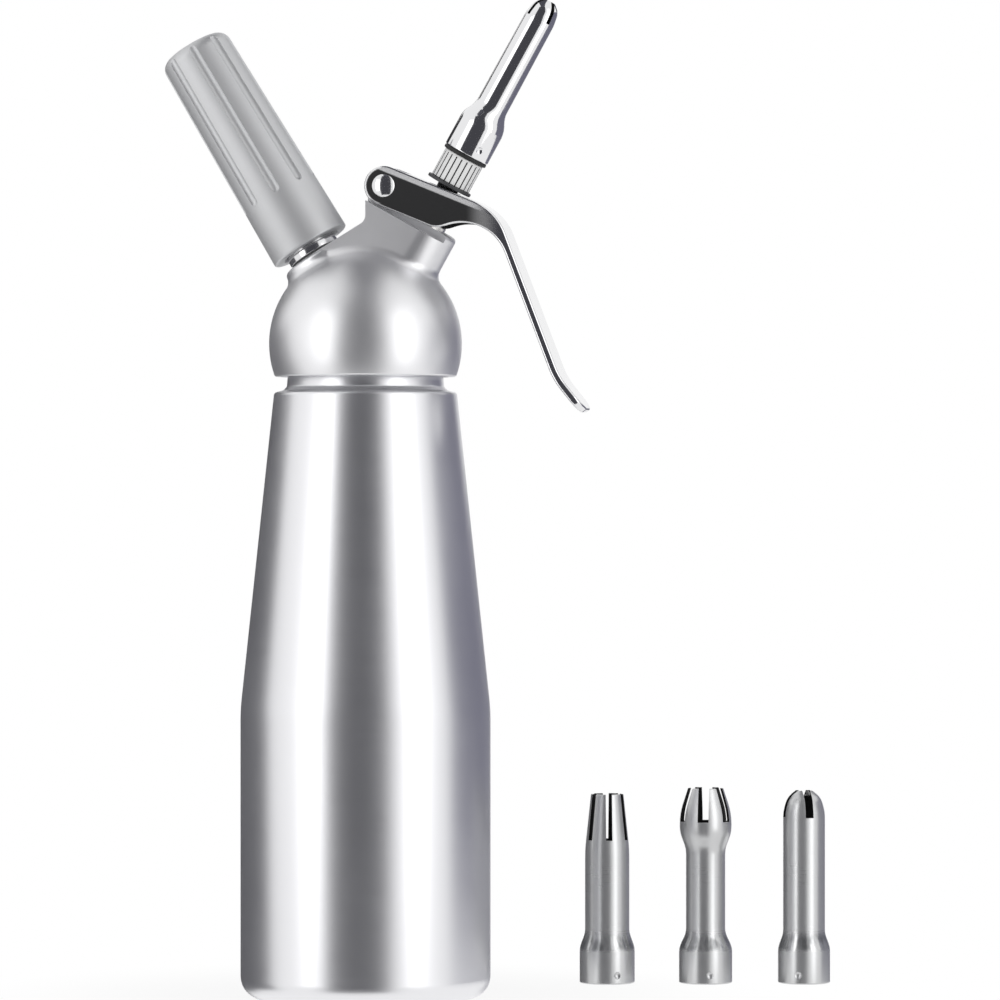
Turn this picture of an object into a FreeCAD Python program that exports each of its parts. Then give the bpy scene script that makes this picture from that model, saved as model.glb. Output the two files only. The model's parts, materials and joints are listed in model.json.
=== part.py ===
"""Whipped cream dispenser: a one litre bottle, its screwed head with lever and gas charger, and its tips.

The frame has +Z up and its origin on the floor, at the middle of the bottle's base. The lever and the
decorating tip lean to +X, the charger holder leans to -X. All lengths are millimetres, all angles degrees.
"""
import FreeCAD, Part
import math
import os

# ---------------------------------------------------------------- bottle
BOTTLE_DIAMETER = 90.0
BOTTLE_WALL = 2.2
BOTTLE_FLOOR = 3.2
BASE_CORNER_RADIUS = 8.0
BASE_GROOVE_DIAMETER = 60.0
BASE_GROOVE_WIDTH = 1.4
BASE_GROOVE_DEPTH = 0.6
STRAIGHT_HEIGHT = 104.0
WAIST_RADIUS = 80.0
SHOULDER_HEIGHT = 217.9
SHOULDER_DIAMETER = 65.8
SHOULDER_RADIUS = 3.0
SHOULDER_STEP = 0.9
NECK_BAND_DIAMETER = 59.0
NECK_BAND_HEIGHT = 5.0
NECK_DIAMETER = 54.8
NECK_BORE = 49.6
NECK_BORE_ROUND = 1.2
MOUTH_ROUND = 0.9
NECK_ENGAGEMENT = 13.9
NECK_THREAD_HEIGHT = 1.1
NECK_THREAD_PITCH = 4.0
NECK_THREAD_MARGIN = 1.4

# ---------------------------------------------------------------- head
NECK_GAP = 5.7
HEAD_BALL_DIAMETER = 69.4
HEAD_BALL_DROP = 11.9
HEAD_RIM_ROUND = 1.2
HEAD_MOUTH_CHAMFER = 2.0
HEAD_CAVITY_DIAMETER = 47.0
HEAD_GASKET_THICKNESS = 2.5
AXES_RISE = 2.0
VALVE_TILT = 29.2
CHARGER_TILT = 31.2
VALVE_BOSS_DIAMETER = 23.8
BOSS_TONGUE_RISE = 2.8
VALVE_BOSS_ROUND = 1.4
CHARGER_BOSS_DIAMETER = 26.4
CHARGER_BOSS_REACH = 34.6
CHARGER_BOSS_ROUND = 1.6
CASTING_BLEND = 3.5
BALL_BLEND = 4.5
SEAT_BOSS_DIAMETER = 16.0
SEAT_REACH = 18.0
SEAT_BOSS_ROOT = 3.0

# ---------------------------------------------------------------- lever and its pivot
PIVOT_X = 8.4
PIVOT_RISE = 54.4
PIN_DIAMETER = 5.0
PIN_HEAD_DIAMETER = 8.3
PIN_HEAD_HEIGHT = 1.4
PIN_CAP_SHARE = 0.4
LUG_WIDTH = 14.2
LUG_END_RADIUS = 6.1
YOKE_WIDTH = 19.0
YOKE_FLANK = 1.9
YOKE_END_RADIUS = 7.1
LEVER_THICKNESS = 2.7
LEVER_EDGE_ROUND = 0.8
WEB_ANGLE = 22.3
WEB_RUN = 41.5
WEB_BEND_RADIUS = 20.0
ARM_ANGLE = 69.0
ARM_RUN = 63.6
FLICK_ANGLE = 51.0
FLICK_RUN = 14.6
FLICK_BEND_RADIUS = 26.0
BELLY_RUN = 23.4
BELLY_RADIUS = 8.0
THROAT_ANGLE = 39.7
THROAT_RADIUS = 17.0
LEVER_CORNER_RADIUS = 6.0
SQUEEZE_ANGLE = 7.0
STEM_SLOT_LENGTH = 12.5

# ---------------------------------------------------------------- valve
STEM_DIAMETER = 8.0
STEM_THREAD_DIAMETER = 7.0
STEM_ROD_DIAMETER = 5.0
STEM_BORE = 3.4
STEM_COLLAR_DIAMETER = 12.6
STEM_OVERTRAVEL = 1.0
STEM_COLLAR_DOME = 1.0
STEM_PORT_DIAMETER = 2.4
STEM_PORT_RISE = 3.5
STEM_BORE_RISE = 2.0
CHAMBER_DIAMETER = 11.0
CHAMBER_FLOOR_REACH = 29.0
THROAT_DIAMETER = 7.6
BUSHING_LENGTH = 8.0
BUSHING_FLANGE_DIAMETER = 13.4
BUSHING_FLANGE = 1.6
STEM_SEAL_SECTION = 1.3
SEAL_GROOVE_SHARE = 1.2
SPRING_WIRE = 0.9
SPRING_TURNS = 5.0
SPRING_SEAT_THICKNESS = 1.2
VALVE_SEAL_DIAMETER = 10.4
VALVE_SEAL_THICKNESS = 1.4
VALVE_PLUG_LENGTH = 3.6

# ---------------------------------------------------------------- tip mounting
DISC_DIAMETER = 17.0
DISC_THICKNESS = 1.2
ADAPTER_DIAMETER = 15.0
ADAPTER_LENGTH = 10.6
ADAPTER_CAP = 2.0
ADAPTER_PASSAGE = 5.0
ADAPTER_RIBS = 22
ADAPTER_RIB_DEPTH = 0.45
ADAPTER_NOTCH_DIAMETER = 1.1
ADAPTER_RIM = 0.8
SPIGOT_DIAMETER = 10.6
SPIGOT_LENGTH = 7.5
SPIGOT_THREAD_HEIGHT = 0.7
SPIGOT_THREAD_PITCH = 2.0
SPIGOT_THREAD_MARGIN = 0.5
SPIGOT_ROOT = 1.0
ADAPTER_GASKET_DIAMETER = 16.6
ADAPTER_GASKET_THICKNESS = 1.4

# ---------------------------------------------------------------- decorating tips
TIP_WALL = 1.0
TIP_FOOT_ROUND = 0.8
TIP_COLLAR_ROUND = 8.0
TIP_SHOULDER_ROUND = 8.0
TIP_RIM_ROUND = 0.4
TIP_DIMPLES = 3
TIP_DIMPLE_DIAMETER = 2.6
TIP_DIMPLE_HEIGHT = 3.4
TIP_DIMPLE_DEPTH = 0.45

PLAIN_LENGTH = 62.2
PLAIN_COLLAR_DIAMETER = 17.0
PLAIN_COLLAR_HEIGHT = 13.0
PLAIN_SHOULDER_HEIGHT = 5.2
PLAIN_BARREL_DIAMETER = 11.8
PLAIN_BARREL_END_DIAMETER = 11.4
PLAIN_NOSE_HEIGHT = 7.2
PLAIN_NOSE_RADIUS = 14.0
PLAIN_CHEEK_DIAMETER = 9.6
PLAIN_CHEEK_HEIGHT = 2.2
PLAIN_CHEEK_RADIUS = 5.0
PLAIN_RIM_DIAMETER = 4.4
PLAIN_SLOTS = 4
PLAIN_SLOT_WIDTH = 1.5
PLAIN_SLOT_DEPTH = 7.5
PLAIN_SLOT_TURN = 45.0
PLAIN_DIMPLE_TURN = 35.4

STAR_LENGTH = 70.0
STAR_COLLAR_DIAMETER = 20.4
STAR_COLLAR_HEIGHT = 13.2
STAR_SHOULDER_HEIGHT = 5.3
STAR_BARREL_DIAMETER = 16.4
STAR_CROWN_HEIGHT = 20.4
STAR_CROWN_RADIUS = 60.0
STAR_RIM_DIAMETER = 12.0
STAR_SLOTS = 6
STAR_SLOT_WIDTH = 2.3
STAR_SLOT_DEPTH = 17.0
STAR_SLOT_TURN = 14.7
STAR_DIMPLE_TURN = 30.6

TULIP_LENGTH = 72.2
TULIP_COLLAR_DIAMETER = 19.7
TULIP_COLLAR_HEIGHT = 13.2
TULIP_SHOULDER_HEIGHT = 5.3
TULIP_BARREL_DIAMETER = 14.5
TULIP_CROWN_HEIGHT = 22.6
TULIP_WAIST_RADIUS = 10.0
TULIP_BULB_DIAMETER = 19.2
TULIP_BULB_LOW = 16.4
TULIP_BULB_LOW_RADIUS = 12.0
TULIP_BULB_HIGH = 9.4
TULIP_BULB_HIGH_RADIUS = 24.0
TULIP_RIM_DIAMETER = 13.0
TULIP_SLOTS = 6
TULIP_SLOT_WIDTH = 4.0
TULIP_SLOT_DEPTH = 12.4
TULIP_SLOT_TURN = 2.2
TULIP_DIMPLE_TURN = 17.5

ROUND_LENGTH = 71.3
ROUND_COLLAR_DIAMETER = 19.3
ROUND_COLLAR_HEIGHT = 13.2
ROUND_SHOULDER_HEIGHT = 5.0
ROUND_BARREL_DIAMETER = 15.5
ROUND_NOSE_HEIGHT = 7.9
ROUND_NOSE_RADIUS = 14.0
ROUND_CHEEK_DIAMETER = 12.4
ROUND_CHEEK_HEIGHT = 2.6
ROUND_CHEEK_RADIUS = 7.0
ROUND_RIM_DIAMETER = 6.2
ROUND_SLOTS = 4
ROUND_SLOT_WIDTH = 3.0
ROUND_SLOT_DEPTH = 9.9
ROUND_SLOT_TURN = 23.0
ROUND_DIMPLE_TURN = -5.5

INSERT_LENGTH = 9.0
SPARE_FIRST_X = 76.4
SPARE_FIRST_Y = 74.4
SPARE_SPACING = 36.5
SPARE_ROW_TURN = 10.0

# ---------------------------------------------------------------- charger holder, nipple and charger
NIPPLE_DIAMETER = 18.3
NIPPLE_FLANGE_DIAMETER = 19.7
NIPPLE_FLANGE = 2.6
NIPPLE_GASKET_THICKNESS = 1.0
NIPPLE_SPIGOT_DIAMETER = 11.0
NIPPLE_SPIGOT_LENGTH = 9.4
NIPPLE_LENGTH = 17.0
NIPPLE_PASSAGE = 2.4
NIPPLE_THREAD_HEIGHT = 0.8
NIPPLE_THREAD_PITCH = 3.0
NIPPLE_THREAD_MARGIN = 1.0
GAS_POCKET_DEPTH = 3.0
PIERCING_PIN_DIAMETER = 3.6
PIERCING_PIN_LENGTH = 8.0
PIERCING_PIN_STAND = 2.6
PIERCING_POINT_DIAMETER = 0.5
CHARGER_SEAL_DIAMETER = 9.4
CHARGER_SEAL_THICKNESS = 2.2
CHARGER_SEAL_PLAY = 0.4
HOLDER_GAP = 0.5
HOLDER_LENGTH = 84.5
HOLDER_LOWER_DIAMETER = 29.6
HOLDER_UPPER_DIAMETER = 26.5
HOLDER_TOP_ROUND = 4.2
HOLDER_MOUTH_CHAMFER = 0.8
HOLDER_THREAD_RUNOUT = 2.0
HOLDER_FLUTES = 9
HOLDER_SEAM_TURN = 90.0
HOLDER_FLUTE_TURN = 8.0
FLUTE_RADIUS = 2.0
FLUTE_DEPTH = 0.9
FLUTE_START = 21.0
CHARGER_DIAMETER = 18.0
CHARGER_LENGTH = 65.8
CHARGER_WALL = 1.6
CHARGER_NECK_DIAMETER = 8.6
CHARGER_NECK_LENGTH = 7.0
CHARGER_SHOULDER = 8.0
CHARGER_SHOULDER_ROUND = 6.0
CHARGER_NECK_ROUND = 2.0
CHARGER_NECK_WALL = 2.0
CHARGER_END_FLAT = 1.0
NON_RETURN_DIAMETER = 9.6
NON_RETURN_THICKNESS = 1.3
NON_RETURN_STALK = 2.8
NON_RETURN_BARB = 0.5
NON_RETURN_PORTS = 4
NON_RETURN_PORT_DIAMETER = 1.5

# ---------------------------------------------------------------- thread form
THREAD_ROOT_SINK = 0.3
THREAD_FOOT_SHARE = 0.30
THREAD_CREST_SHARE = 0.12

# ---------------------------------------------------------------- small edges and cutters
EDGE_BREAK = 0.4
EDGE_ROUND = 0.6
CUTTER_OVERRUN = 1.0
FAR_SIDE = 500.0
SAME_PLACE = 1e-3
FRONT = -90.0

# ---------------------------------------------------------------- clearances
RUNNING_FIT = 0.05
SLIDING_FIT = 0.10
THREAD_CLEARANCE = 0.35
SIDE_CLEARANCE = 0.5
SWING_CLEARANCE = 0.5
TOUCH_GAP = 0.3

# ---------------------------------------------------------------- levels worked out from the sizes above
BOTTLE_RADIUS = BOTTLE_DIAMETER / 2
SHOULDER_R = SHOULDER_DIAMETER / 2
NECK_R = NECK_DIAMETER / 2
NECK_THREAD_R = NECK_R + NECK_THREAD_HEIGHT
HEAD_RIM_Z = SHOULDER_HEIGHT + NECK_GAP
MOUTH_Z = HEAD_RIM_Z + NECK_ENGAGEMENT
GASKET_TOP_Z = MOUTH_Z + HEAD_GASKET_THICKNESS
BALL_RADIUS = HEAD_BALL_DIAMETER / 2
BALL_Z = HEAD_RIM_Z + HEAD_BALL_DROP
AXES_Z = BALL_Z + AXES_RISE
PIVOT_Z = AXES_Z + PIVOT_RISE
HEAD_BORE_R = NECK_THREAD_R + THREAD_CLEARANCE
LUG_LEFT_X = PIVOT_X - LUG_END_RADIUS
LUG_RIGHT_X = PIVOT_X + LUG_END_RADIUS


def vec(x, z, y=0.0):
    """Point or direction from its X and Z, and its Y where it has one."""
    return FreeCAD.Vector(x, y, z)


UP = vec(0.0, 1.0)
SIDEWAYS = FreeCAD.Vector(0.0, 1.0, 0.0)


# ---------------------------------------------------------------- small tools for solids
def outline(corners):
    """Flat face in the XZ plane with corners (x, z, radius), each rounded by an arc of its radius."""
    stops = []
    for number, (x, z, radius) in enumerate(corners):
        here = vec(x, z)
        back = (vec(*corners[number - 1][:2]) - here).normalize()
        ahead = (vec(*corners[(number + 1) % len(corners)][:2]) - here).normalize()
        if radius == 0.0:
            stops.append((here, here, None))
            continue
        half = back.getAngle(ahead) / 2
        reach = radius / math.tan(half)
        inward = (back + ahead).normalize()
        middle = here + inward * (radius / math.sin(half) - radius)
        stops.append((here + back * reach, here + ahead * reach, middle))
    edges = []
    for number, (start, end, middle) in enumerate(stops):
        if middle is not None:
            edges.append(Part.Arc(start, middle, end).toShape())
        next_start = stops[(number + 1) % len(stops)][0]
        if end.distanceToPoint(next_start) > SAME_PLACE:
            edges.append(Part.LineSegment(end, next_start).toShape())
    return Part.Face(Part.Wire(edges))


def turned(corners):
    """Solid turned about Z from the half section with the given corners."""
    return outline(corners).revolve(vec(0, 0), UP, 360)


def plate(corners, width):
    """Solid of the given outline in XZ, as thick as width, middled on Y = 0."""
    face = outline(corners)
    face.translate(SIDEWAYS * (-width / 2))
    return face.extrude(SIDEWAYS * width)


def rod(diameter, low, high, x=0.0, y=0.0):
    """Cylinder along Z from one height to another."""
    return Part.makeCylinder(diameter / 2, high - low, vec(x, low, y), UP)


def ring(outer, inner, low, high):
    """Flat ring about Z."""
    return rod(outer, low, high).cut(rod(inner, low - CUTTER_OVERRUN, high + CUTTER_OVERRUN))


def cross_pin(diameter, low_y, high_y, x, z):
    """Cylinder along Y."""
    return Part.makeCylinder(diameter / 2, high_y - low_y, vec(x, z, low_y), SIDEWAYS)


def slab(low, high):
    """Box between two corners."""
    size = high - low
    return Part.makeBox(size.x, size.y, size.z, low)


def around(shape, count, first_angle=0.0):
    """Copies of a shape spread evenly about Z, as one compound."""
    copies = []
    for number in range(count):
        copy = shape.copy()
        copy.rotate(vec(0, 0), UP, first_angle + number * 360.0 / count)
        copies.append(copy)
    return Part.makeCompound(copies)


def rounded(shape, radius, wanted):
    """The shape with every edge that passes the test rounded."""
    return shape.makeFillet(radius, [edge for edge in shape.Edges if wanted(edge)])


def rounded_at(shape, radius, height):
    """The shape with the round edges at the given height rounded."""
    return rounded(shape, radius, lambda edge: abs(edge.CenterOfMass.z - height) < SAME_PLACE)


def threaded(core, root_diameter, height, pitch, low, high):
    """The core with one right-hand helical ridge around it, from one height to another."""
    root = root_diameter / 2
    sink = THREAD_ROOT_SINK
    foot = THREAD_FOOT_SHARE * pitch
    crest = THREAD_CREST_SHARE * pitch
    rise = high - low - 2 * foot
    profile = Part.makePolygon([
        vec(root - sink, -foot),
        vec(root + height, -crest),
        vec(root + height, crest),
        vec(root - sink, foot),
        vec(root - sink, -foot),
    ])
    helix = Part.Wire(Part.makeHelix(pitch, rise, root))
    ridge = helix.makePipeShell([profile], True, True)
    ridge.translate(vec(0, low + foot))
    return core.fuse(ridge)


def on_axis(shape, tilt):
    """Move a shape drawn about Z to the axis that leans by tilt to +X and passes the axes' crossing."""
    moved = shape.copy()
    moved.rotate(vec(0, 0), SIDEWAYS, tilt)
    moved.translate(vec(0, AXES_Z))
    return moved


def on_valve(shape):
    """Move a shape from the valve's own frame to its place."""
    return on_axis(shape, VALVE_TILT)


def on_charger(shape):
    """Move a shape from the charger's own frame to its place."""
    return on_axis(shape, -CHARGER_TILT)


# ---------------------------------------------------------------- the lever's own frame
def web_direction(angle):
    """Unit direction in XZ that falls to +X by angle."""
    return vec(math.cos(math.radians(angle)), -math.sin(math.radians(angle)))


def lever_corner(run, rise, radius):
    """Corner of the lever's side outline: run along the web from the pivot, rise square to it."""
    along = web_direction(WEB_ANGLE)
    square = vec(-along.z, along.x)
    place = vec(PIVOT_X, PIVOT_Z) + along * run + square * rise
    return (place.x, place.z, radius)


def bend_offset(turn, depth):
    """How far a bend's corner moves along its two lines when both are offset by depth."""
    return depth * math.tan(math.radians(turn) / 2)


ARM_TURN = ARM_ANGLE - WEB_ANGLE
FLICK_TURN = ARM_ANGLE - FLICK_ANGLE


def arm_point(distance, depth):
    """Run and rise of a point down the arm from the bend's outer corner, depth below its outer face."""
    turn = math.radians(ARM_TURN)
    run = WEB_RUN + distance * math.cos(turn) - depth * math.sin(turn)
    rise = YOKE_END_RADIUS - distance * math.sin(turn) - depth * math.cos(turn)
    return run, rise


def flick_point(distance, depth):
    """Run and rise of a point along the flicked end from its corner, depth below its outer face."""
    turn = math.radians(ARM_TURN - FLICK_TURN)
    start_run, start_rise = arm_point(ARM_RUN, 0.0)
    run = start_run + distance * math.cos(turn) - depth * math.sin(turn)
    rise = start_rise - distance * math.sin(turn) - depth * math.cos(turn)
    return run, rise


def valve_coordinates(x, z):
    """Sideways place and reach along the valve axis of a point in XZ."""
    tilt = math.radians(VALVE_TILT)
    side = x * math.cos(tilt) - (z - AXES_Z) * math.sin(tilt)
    reach = x * math.sin(tilt) + (z - AXES_Z) * math.cos(tilt)
    return side, reach


PIVOT_SIDE, PIVOT_REACH = valve_coordinates(PIVOT_X, PIVOT_Z)
STEM_TRAVEL = -PIVOT_SIDE * math.radians(SQUEEZE_ANGLE)
LEDGE_REACH = PIVOT_REACH - YOKE_END_RADIUS - SWING_CLEARANCE
VALVE_BOSS_REACH = LEDGE_REACH + BOSS_TONGUE_RISE
WEB_LEAN = math.tan(math.radians(VALVE_TILT - WEB_ANGLE))


def web_reach(side, rise):
    """Reach along the valve axis of the web's line at the given rise, at a sideways place."""
    lean = math.radians(VALVE_TILT - WEB_ANGLE)
    return PIVOT_REACH + rise / math.cos(lean) + (side - PIVOT_SIDE) * WEB_LEAN


# Levels along the valve axis, measured from the axes' crossing.
WEB_INNER = YOKE_END_RADIUS - LEVER_THICKNESS
COLLAR_RIM_TOP = web_reach(-STEM_COLLAR_DIAMETER / 2, WEB_INNER) - TOUCH_GAP
COLLAR_TOP = COLLAR_RIM_TOP + STEM_COLLAR_DOME
DISC_BOTTOM = web_reach(DISC_DIAMETER / 2, YOKE_END_RADIUS) + TOUCH_GAP
DISC_TOP = DISC_BOTTOM + DISC_THICKNESS
ADAPTER_TOP = DISC_TOP + ADAPTER_LENGTH
STEM_TOP = ADAPTER_TOP - ADAPTER_CAP
TIP_SEAT = ADAPTER_TOP + ADAPTER_GASKET_THICKNESS
BUSHING_TOP = VALVE_BOSS_REACH + BUSHING_FLANGE
COLLAR_BOTTOM = BUSHING_TOP + STEM_TRAVEL + STEM_OVERTRAVEL
BUSHING_BOTTOM = VALVE_BOSS_REACH - BUSHING_LENGTH
STEM_SEAL_REACH = VALVE_BOSS_REACH - BUSHING_LENGTH / 2 - STEM_TRAVEL / 2
SPRING_SEAT_TOP = BUSHING_BOTTOM - TOUCH_GAP
SPRING_TOP = SPRING_SEAT_TOP - SPRING_SEAT_THICKNESS
PLUG_TOP = SEAT_REACH - VALVE_SEAL_THICKNESS
PLUG_BOTTOM = PLUG_TOP - VALVE_PLUG_LENGTH

# Levels along the charger axis, measured from the axes' crossing.
FLANGE_BOTTOM = CHARGER_BOSS_REACH + NIPPLE_GASKET_THICKNESS
FLANGE_TOP = FLANGE_BOTTOM + NIPPLE_FLANGE
HOLDER_BOTTOM = FLANGE_TOP + HOLDER_GAP
HOLDER_TOP = HOLDER_BOTTOM + HOLDER_LENGTH
NIPPLE_TOP = FLANGE_BOTTOM + NIPPLE_LENGTH
NIPPLE_BOTTOM = CHARGER_BOSS_REACH - NIPPLE_SPIGOT_LENGTH
CHARGER_BOTTOM = NIPPLE_TOP + TOUCH_GAP
CHARGER_TOP = CHARGER_BOTTOM + CHARGER_LENGTH
GAS_POCKET_FLOOR = NIPPLE_BOTTOM - GAS_POCKET_DEPTH


# ---------------------------------------------------------------- bottle
def bottle():
    """Drawn aluminium bottle with a threaded neck."""
    wall = BOTTLE_WALL
    inner_r = BOTTLE_RADIUS - wall
    neck_bore_r = NECK_BORE / 2
    band_foot_z = SHOULDER_HEIGHT + SHOULDER_STEP
    band_top_z = band_foot_z + NECK_BAND_HEIGHT
    shell = turned([
        (0.0, 0.0, 0.0),
        (BOTTLE_RADIUS, 0.0, BASE_CORNER_RADIUS),
        (BOTTLE_RADIUS, STRAIGHT_HEIGHT, WAIST_RADIUS),
        (SHOULDER_R, SHOULDER_HEIGHT, SHOULDER_RADIUS),
        (NECK_BAND_DIAMETER / 2, band_foot_z, EDGE_BREAK),
        (NECK_R, band_top_z, EDGE_ROUND),
        (NECK_R, MOUTH_Z, MOUTH_ROUND),
        (neck_bore_r, MOUTH_Z, MOUTH_ROUND),
        (neck_bore_r, SHOULDER_HEIGHT, NECK_BORE_ROUND),
        (SHOULDER_R - wall, SHOULDER_HEIGHT - wall, NECK_BORE_ROUND),
        (inner_r, STRAIGHT_HEIGHT, WAIST_RADIUS - wall),
        (inner_r, BOTTLE_FLOOR, BASE_CORNER_RADIUS - wall),
        (0.0, BOTTLE_FLOOR, 0.0),
    ])
    groove_bore = BASE_GROOVE_DIAMETER - 2 * BASE_GROOVE_WIDTH
    shell = shell.cut(ring(BASE_GROOVE_DIAMETER, groove_bore, -CUTTER_OVERRUN, BASE_GROOVE_DEPTH))
    return threaded(shell, NECK_DIAMETER, NECK_THREAD_HEIGHT, NECK_THREAD_PITCH,
                    band_top_z + NECK_THREAD_MARGIN, MOUTH_Z - NECK_THREAD_MARGIN)


# ---------------------------------------------------------------- head
def casting_block():
    """Flat-sided block of the head between the two bosses, cut square to the valve axis for the lever."""
    tilt = math.radians(CHARGER_TILT)
    ramp_x = -CHARGER_BOSS_REACH * math.sin(tilt)
    ramp_z = AXES_Z + CHARGER_BOSS_REACH * math.cos(tilt)
    corner_z = ramp_z + (LUG_LEFT_X - ramp_x) * math.tan(tilt)
    valve = math.radians(VALVE_TILT)
    ledge_z = AXES_Z + (LEDGE_REACH - LUG_LEFT_X * math.sin(valve)) / math.cos(valve)
    ledge_end = vec(0, AXES_Z) + vec(math.sin(valve), math.cos(valve)) * LEDGE_REACH
    wide = plate([
        (0.0, AXES_Z, 0.0),
        (ramp_x, ramp_z, 0.0),
        (LUG_LEFT_X, corner_z, CASTING_BLEND),
        (LUG_LEFT_X, ledge_z, 0.0),
        (ledge_end.x, ledge_end.z, 0.0),
    ], VALVE_BOSS_DIAMETER)
    lug = plate([
        (0.0, AXES_Z, 0.0),
        (LUG_LEFT_X, corner_z - CASTING_BLEND, 0.0),
        (LUG_LEFT_X, PIVOT_Z + LUG_END_RADIUS, LUG_END_RADIUS),
        (LUG_RIGHT_X, PIVOT_Z + LUG_END_RADIUS, LUG_END_RADIUS),
        (LUG_RIGHT_X, AXES_Z + LUG_RIGHT_X, 0.0),
    ], LUG_WIDTH)
    return wide.fuse(lug)


def valve_boss():
    """Boss around the valve: full round up to the ledge, and as wide as the lug above it."""
    full = on_valve(rod(VALVE_BOSS_DIAMETER, 0.0, LEDGE_REACH))
    top = rounded_at(rod(VALVE_BOSS_DIAMETER, 0.0, VALVE_BOSS_REACH), VALVE_BOSS_ROUND, VALVE_BOSS_REACH)
    tongue = slab(vec(-FAR_SIDE, -FAR_SIDE, -LUG_WIDTH / 2), vec(FAR_SIDE, FAR_SIDE, LUG_WIDTH / 2))
    return full.fuse(on_valve(top.common(tongue)))


def charger_boss():
    """Round boss that the nipple screws into."""
    boss = rod(CHARGER_BOSS_DIAMETER, 0.0, CHARGER_BOSS_REACH)
    return on_charger(rounded_at(boss, CHARGER_BOSS_ROUND, CHARGER_BOSS_REACH))


def head():
    """Cast aluminium head: ball, bosses and lever lug, bored for the neck, the valve and the nipple."""
    ball = Part.makeSphere(BALL_RADIUS, vec(0, BALL_Z))
    ball = ball.cut(slab(vec(-FAR_SIDE, -FAR_SIDE, -FAR_SIDE), vec(FAR_SIDE, HEAD_RIM_Z, FAR_SIDE)))
    ball = rounded_at(ball, HEAD_RIM_ROUND, HEAD_RIM_Z)
    body = ball.fuse([casting_block(), valve_boss(), charger_boss()]).removeSplitter()
    body = rounded(body, BALL_BLEND, meets_the_ball)
    body = body.cut(head_hollow())
    body = body.fuse(seat_bosses())
    return body.cut(head_bores()).removeSplitter()


def meets_the_ball(edge):
    """True for the edges where the bosses and the block meet the ball's outside."""
    centre = vec(0, BALL_Z)
    misses = [abs(spot.distanceToPoint(centre) - BALL_RADIUS) for spot in edge.discretize(7)]
    return max(misses) < 10 * SAME_PLACE and edge.BoundBox.ZMin > BALL_Z


def head_hollow():
    """Bore for the bottle's neck, the gasket's seat and the round space above it."""
    half = HEAD_MOUTH_CHAMFER / 2
    neck = rod(2 * HEAD_BORE_R, HEAD_RIM_Z - half, GASKET_TOP_Z)
    mouth = turned([
        (0.0, HEAD_RIM_Z - half, 0.0),
        (HEAD_BORE_R + HEAD_MOUTH_CHAMFER, HEAD_RIM_Z - half, 0.0),
        (HEAD_BORE_R, HEAD_RIM_Z + half, 0.0),
        (0.0, HEAD_RIM_Z + half, 0.0),
    ])
    dome = Part.makeSphere(HEAD_CAVITY_DIAMETER / 2, vec(0, BALL_Z))
    return neck.fuse([mouth, dome])


def seat_bosses():
    """Short bosses inside the head that carry the valve's seat and the non-return valve."""
    inner_reach = HEAD_CAVITY_DIAMETER / 2 + SEAT_BOSS_ROOT
    post = rod(SEAT_BOSS_DIAMETER, SEAT_REACH, inner_reach)
    return on_valve(post).fuse(on_charger(post))


def head_bores():
    """Everything that is drilled into the head."""
    over = CUTTER_OVERRUN
    chamber = rod(CHAMBER_DIAMETER, CHAMBER_FLOOR_REACH, VALVE_BOSS_REACH + over)
    throat = rod(THROAT_DIAMETER, SEAT_REACH - over, CHAMBER_FLOOR_REACH + over)
    spigot = rod(NIPPLE_SPIGOT_DIAMETER, GAS_POCKET_FLOOR, CHARGER_BOSS_REACH + over)
    stalk = rod(NON_RETURN_STALK, SEAT_REACH - over, GAS_POCKET_FLOOR + over)
    port = rod(NON_RETURN_PORT_DIAMETER, SEAT_REACH - over, GAS_POCKET_FLOOR + over, x=NON_RETURN_STALK)
    ports = around(port, NON_RETURN_PORTS)
    pivot = cross_pin(PIN_DIAMETER + 2 * RUNNING_FIT, -LUG_WIDTH, LUG_WIDTH, PIVOT_X, PIVOT_Z)
    return Part.makeCompound([
        on_valve(chamber.fuse(throat)),
        on_charger(spigot.fuse(stalk).fuse(ports)),
        pivot,
    ])


def head_gasket():
    """Silicone ring in the head that the bottle's mouth closes against."""
    return ring(2 * (HEAD_BORE_R - SLIDING_FIT), NECK_BORE, MOUTH_Z, GASKET_TOP_Z)


# ---------------------------------------------------------------- lever
def lever_strip():
    """Bent strip of the lever: web, arm and the flicked end for the finger."""
    depth = LEVER_THICKNESS
    web_start = math.sqrt((LUG_END_RADIUS + SWING_CLEARANCE) ** 2 - WEB_INNER ** 2)
    inner_run = WEB_RUN - bend_offset(ARM_TURN, depth)
    flick_inner = ARM_RUN + bend_offset(FLICK_TURN, depth)
    corners = [
        lever_corner(web_start, YOKE_END_RADIUS, 0.0),
        lever_corner(WEB_RUN, YOKE_END_RADIUS, WEB_BEND_RADIUS),
        lever_corner(*arm_point(ARM_RUN, 0.0), FLICK_BEND_RADIUS),
        lever_corner(*flick_point(FLICK_RUN, 0.0), 0.0),
        lever_corner(*flick_point(FLICK_RUN, depth), 0.0),
        lever_corner(*arm_point(flick_inner, depth), FLICK_BEND_RADIUS + depth),
        lever_corner(inner_run, WEB_INNER, WEB_BEND_RADIUS - depth),
        lever_corner(web_start, WEB_INNER, 0.0),
    ]
    return plate(corners, YOKE_WIDTH)


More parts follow.
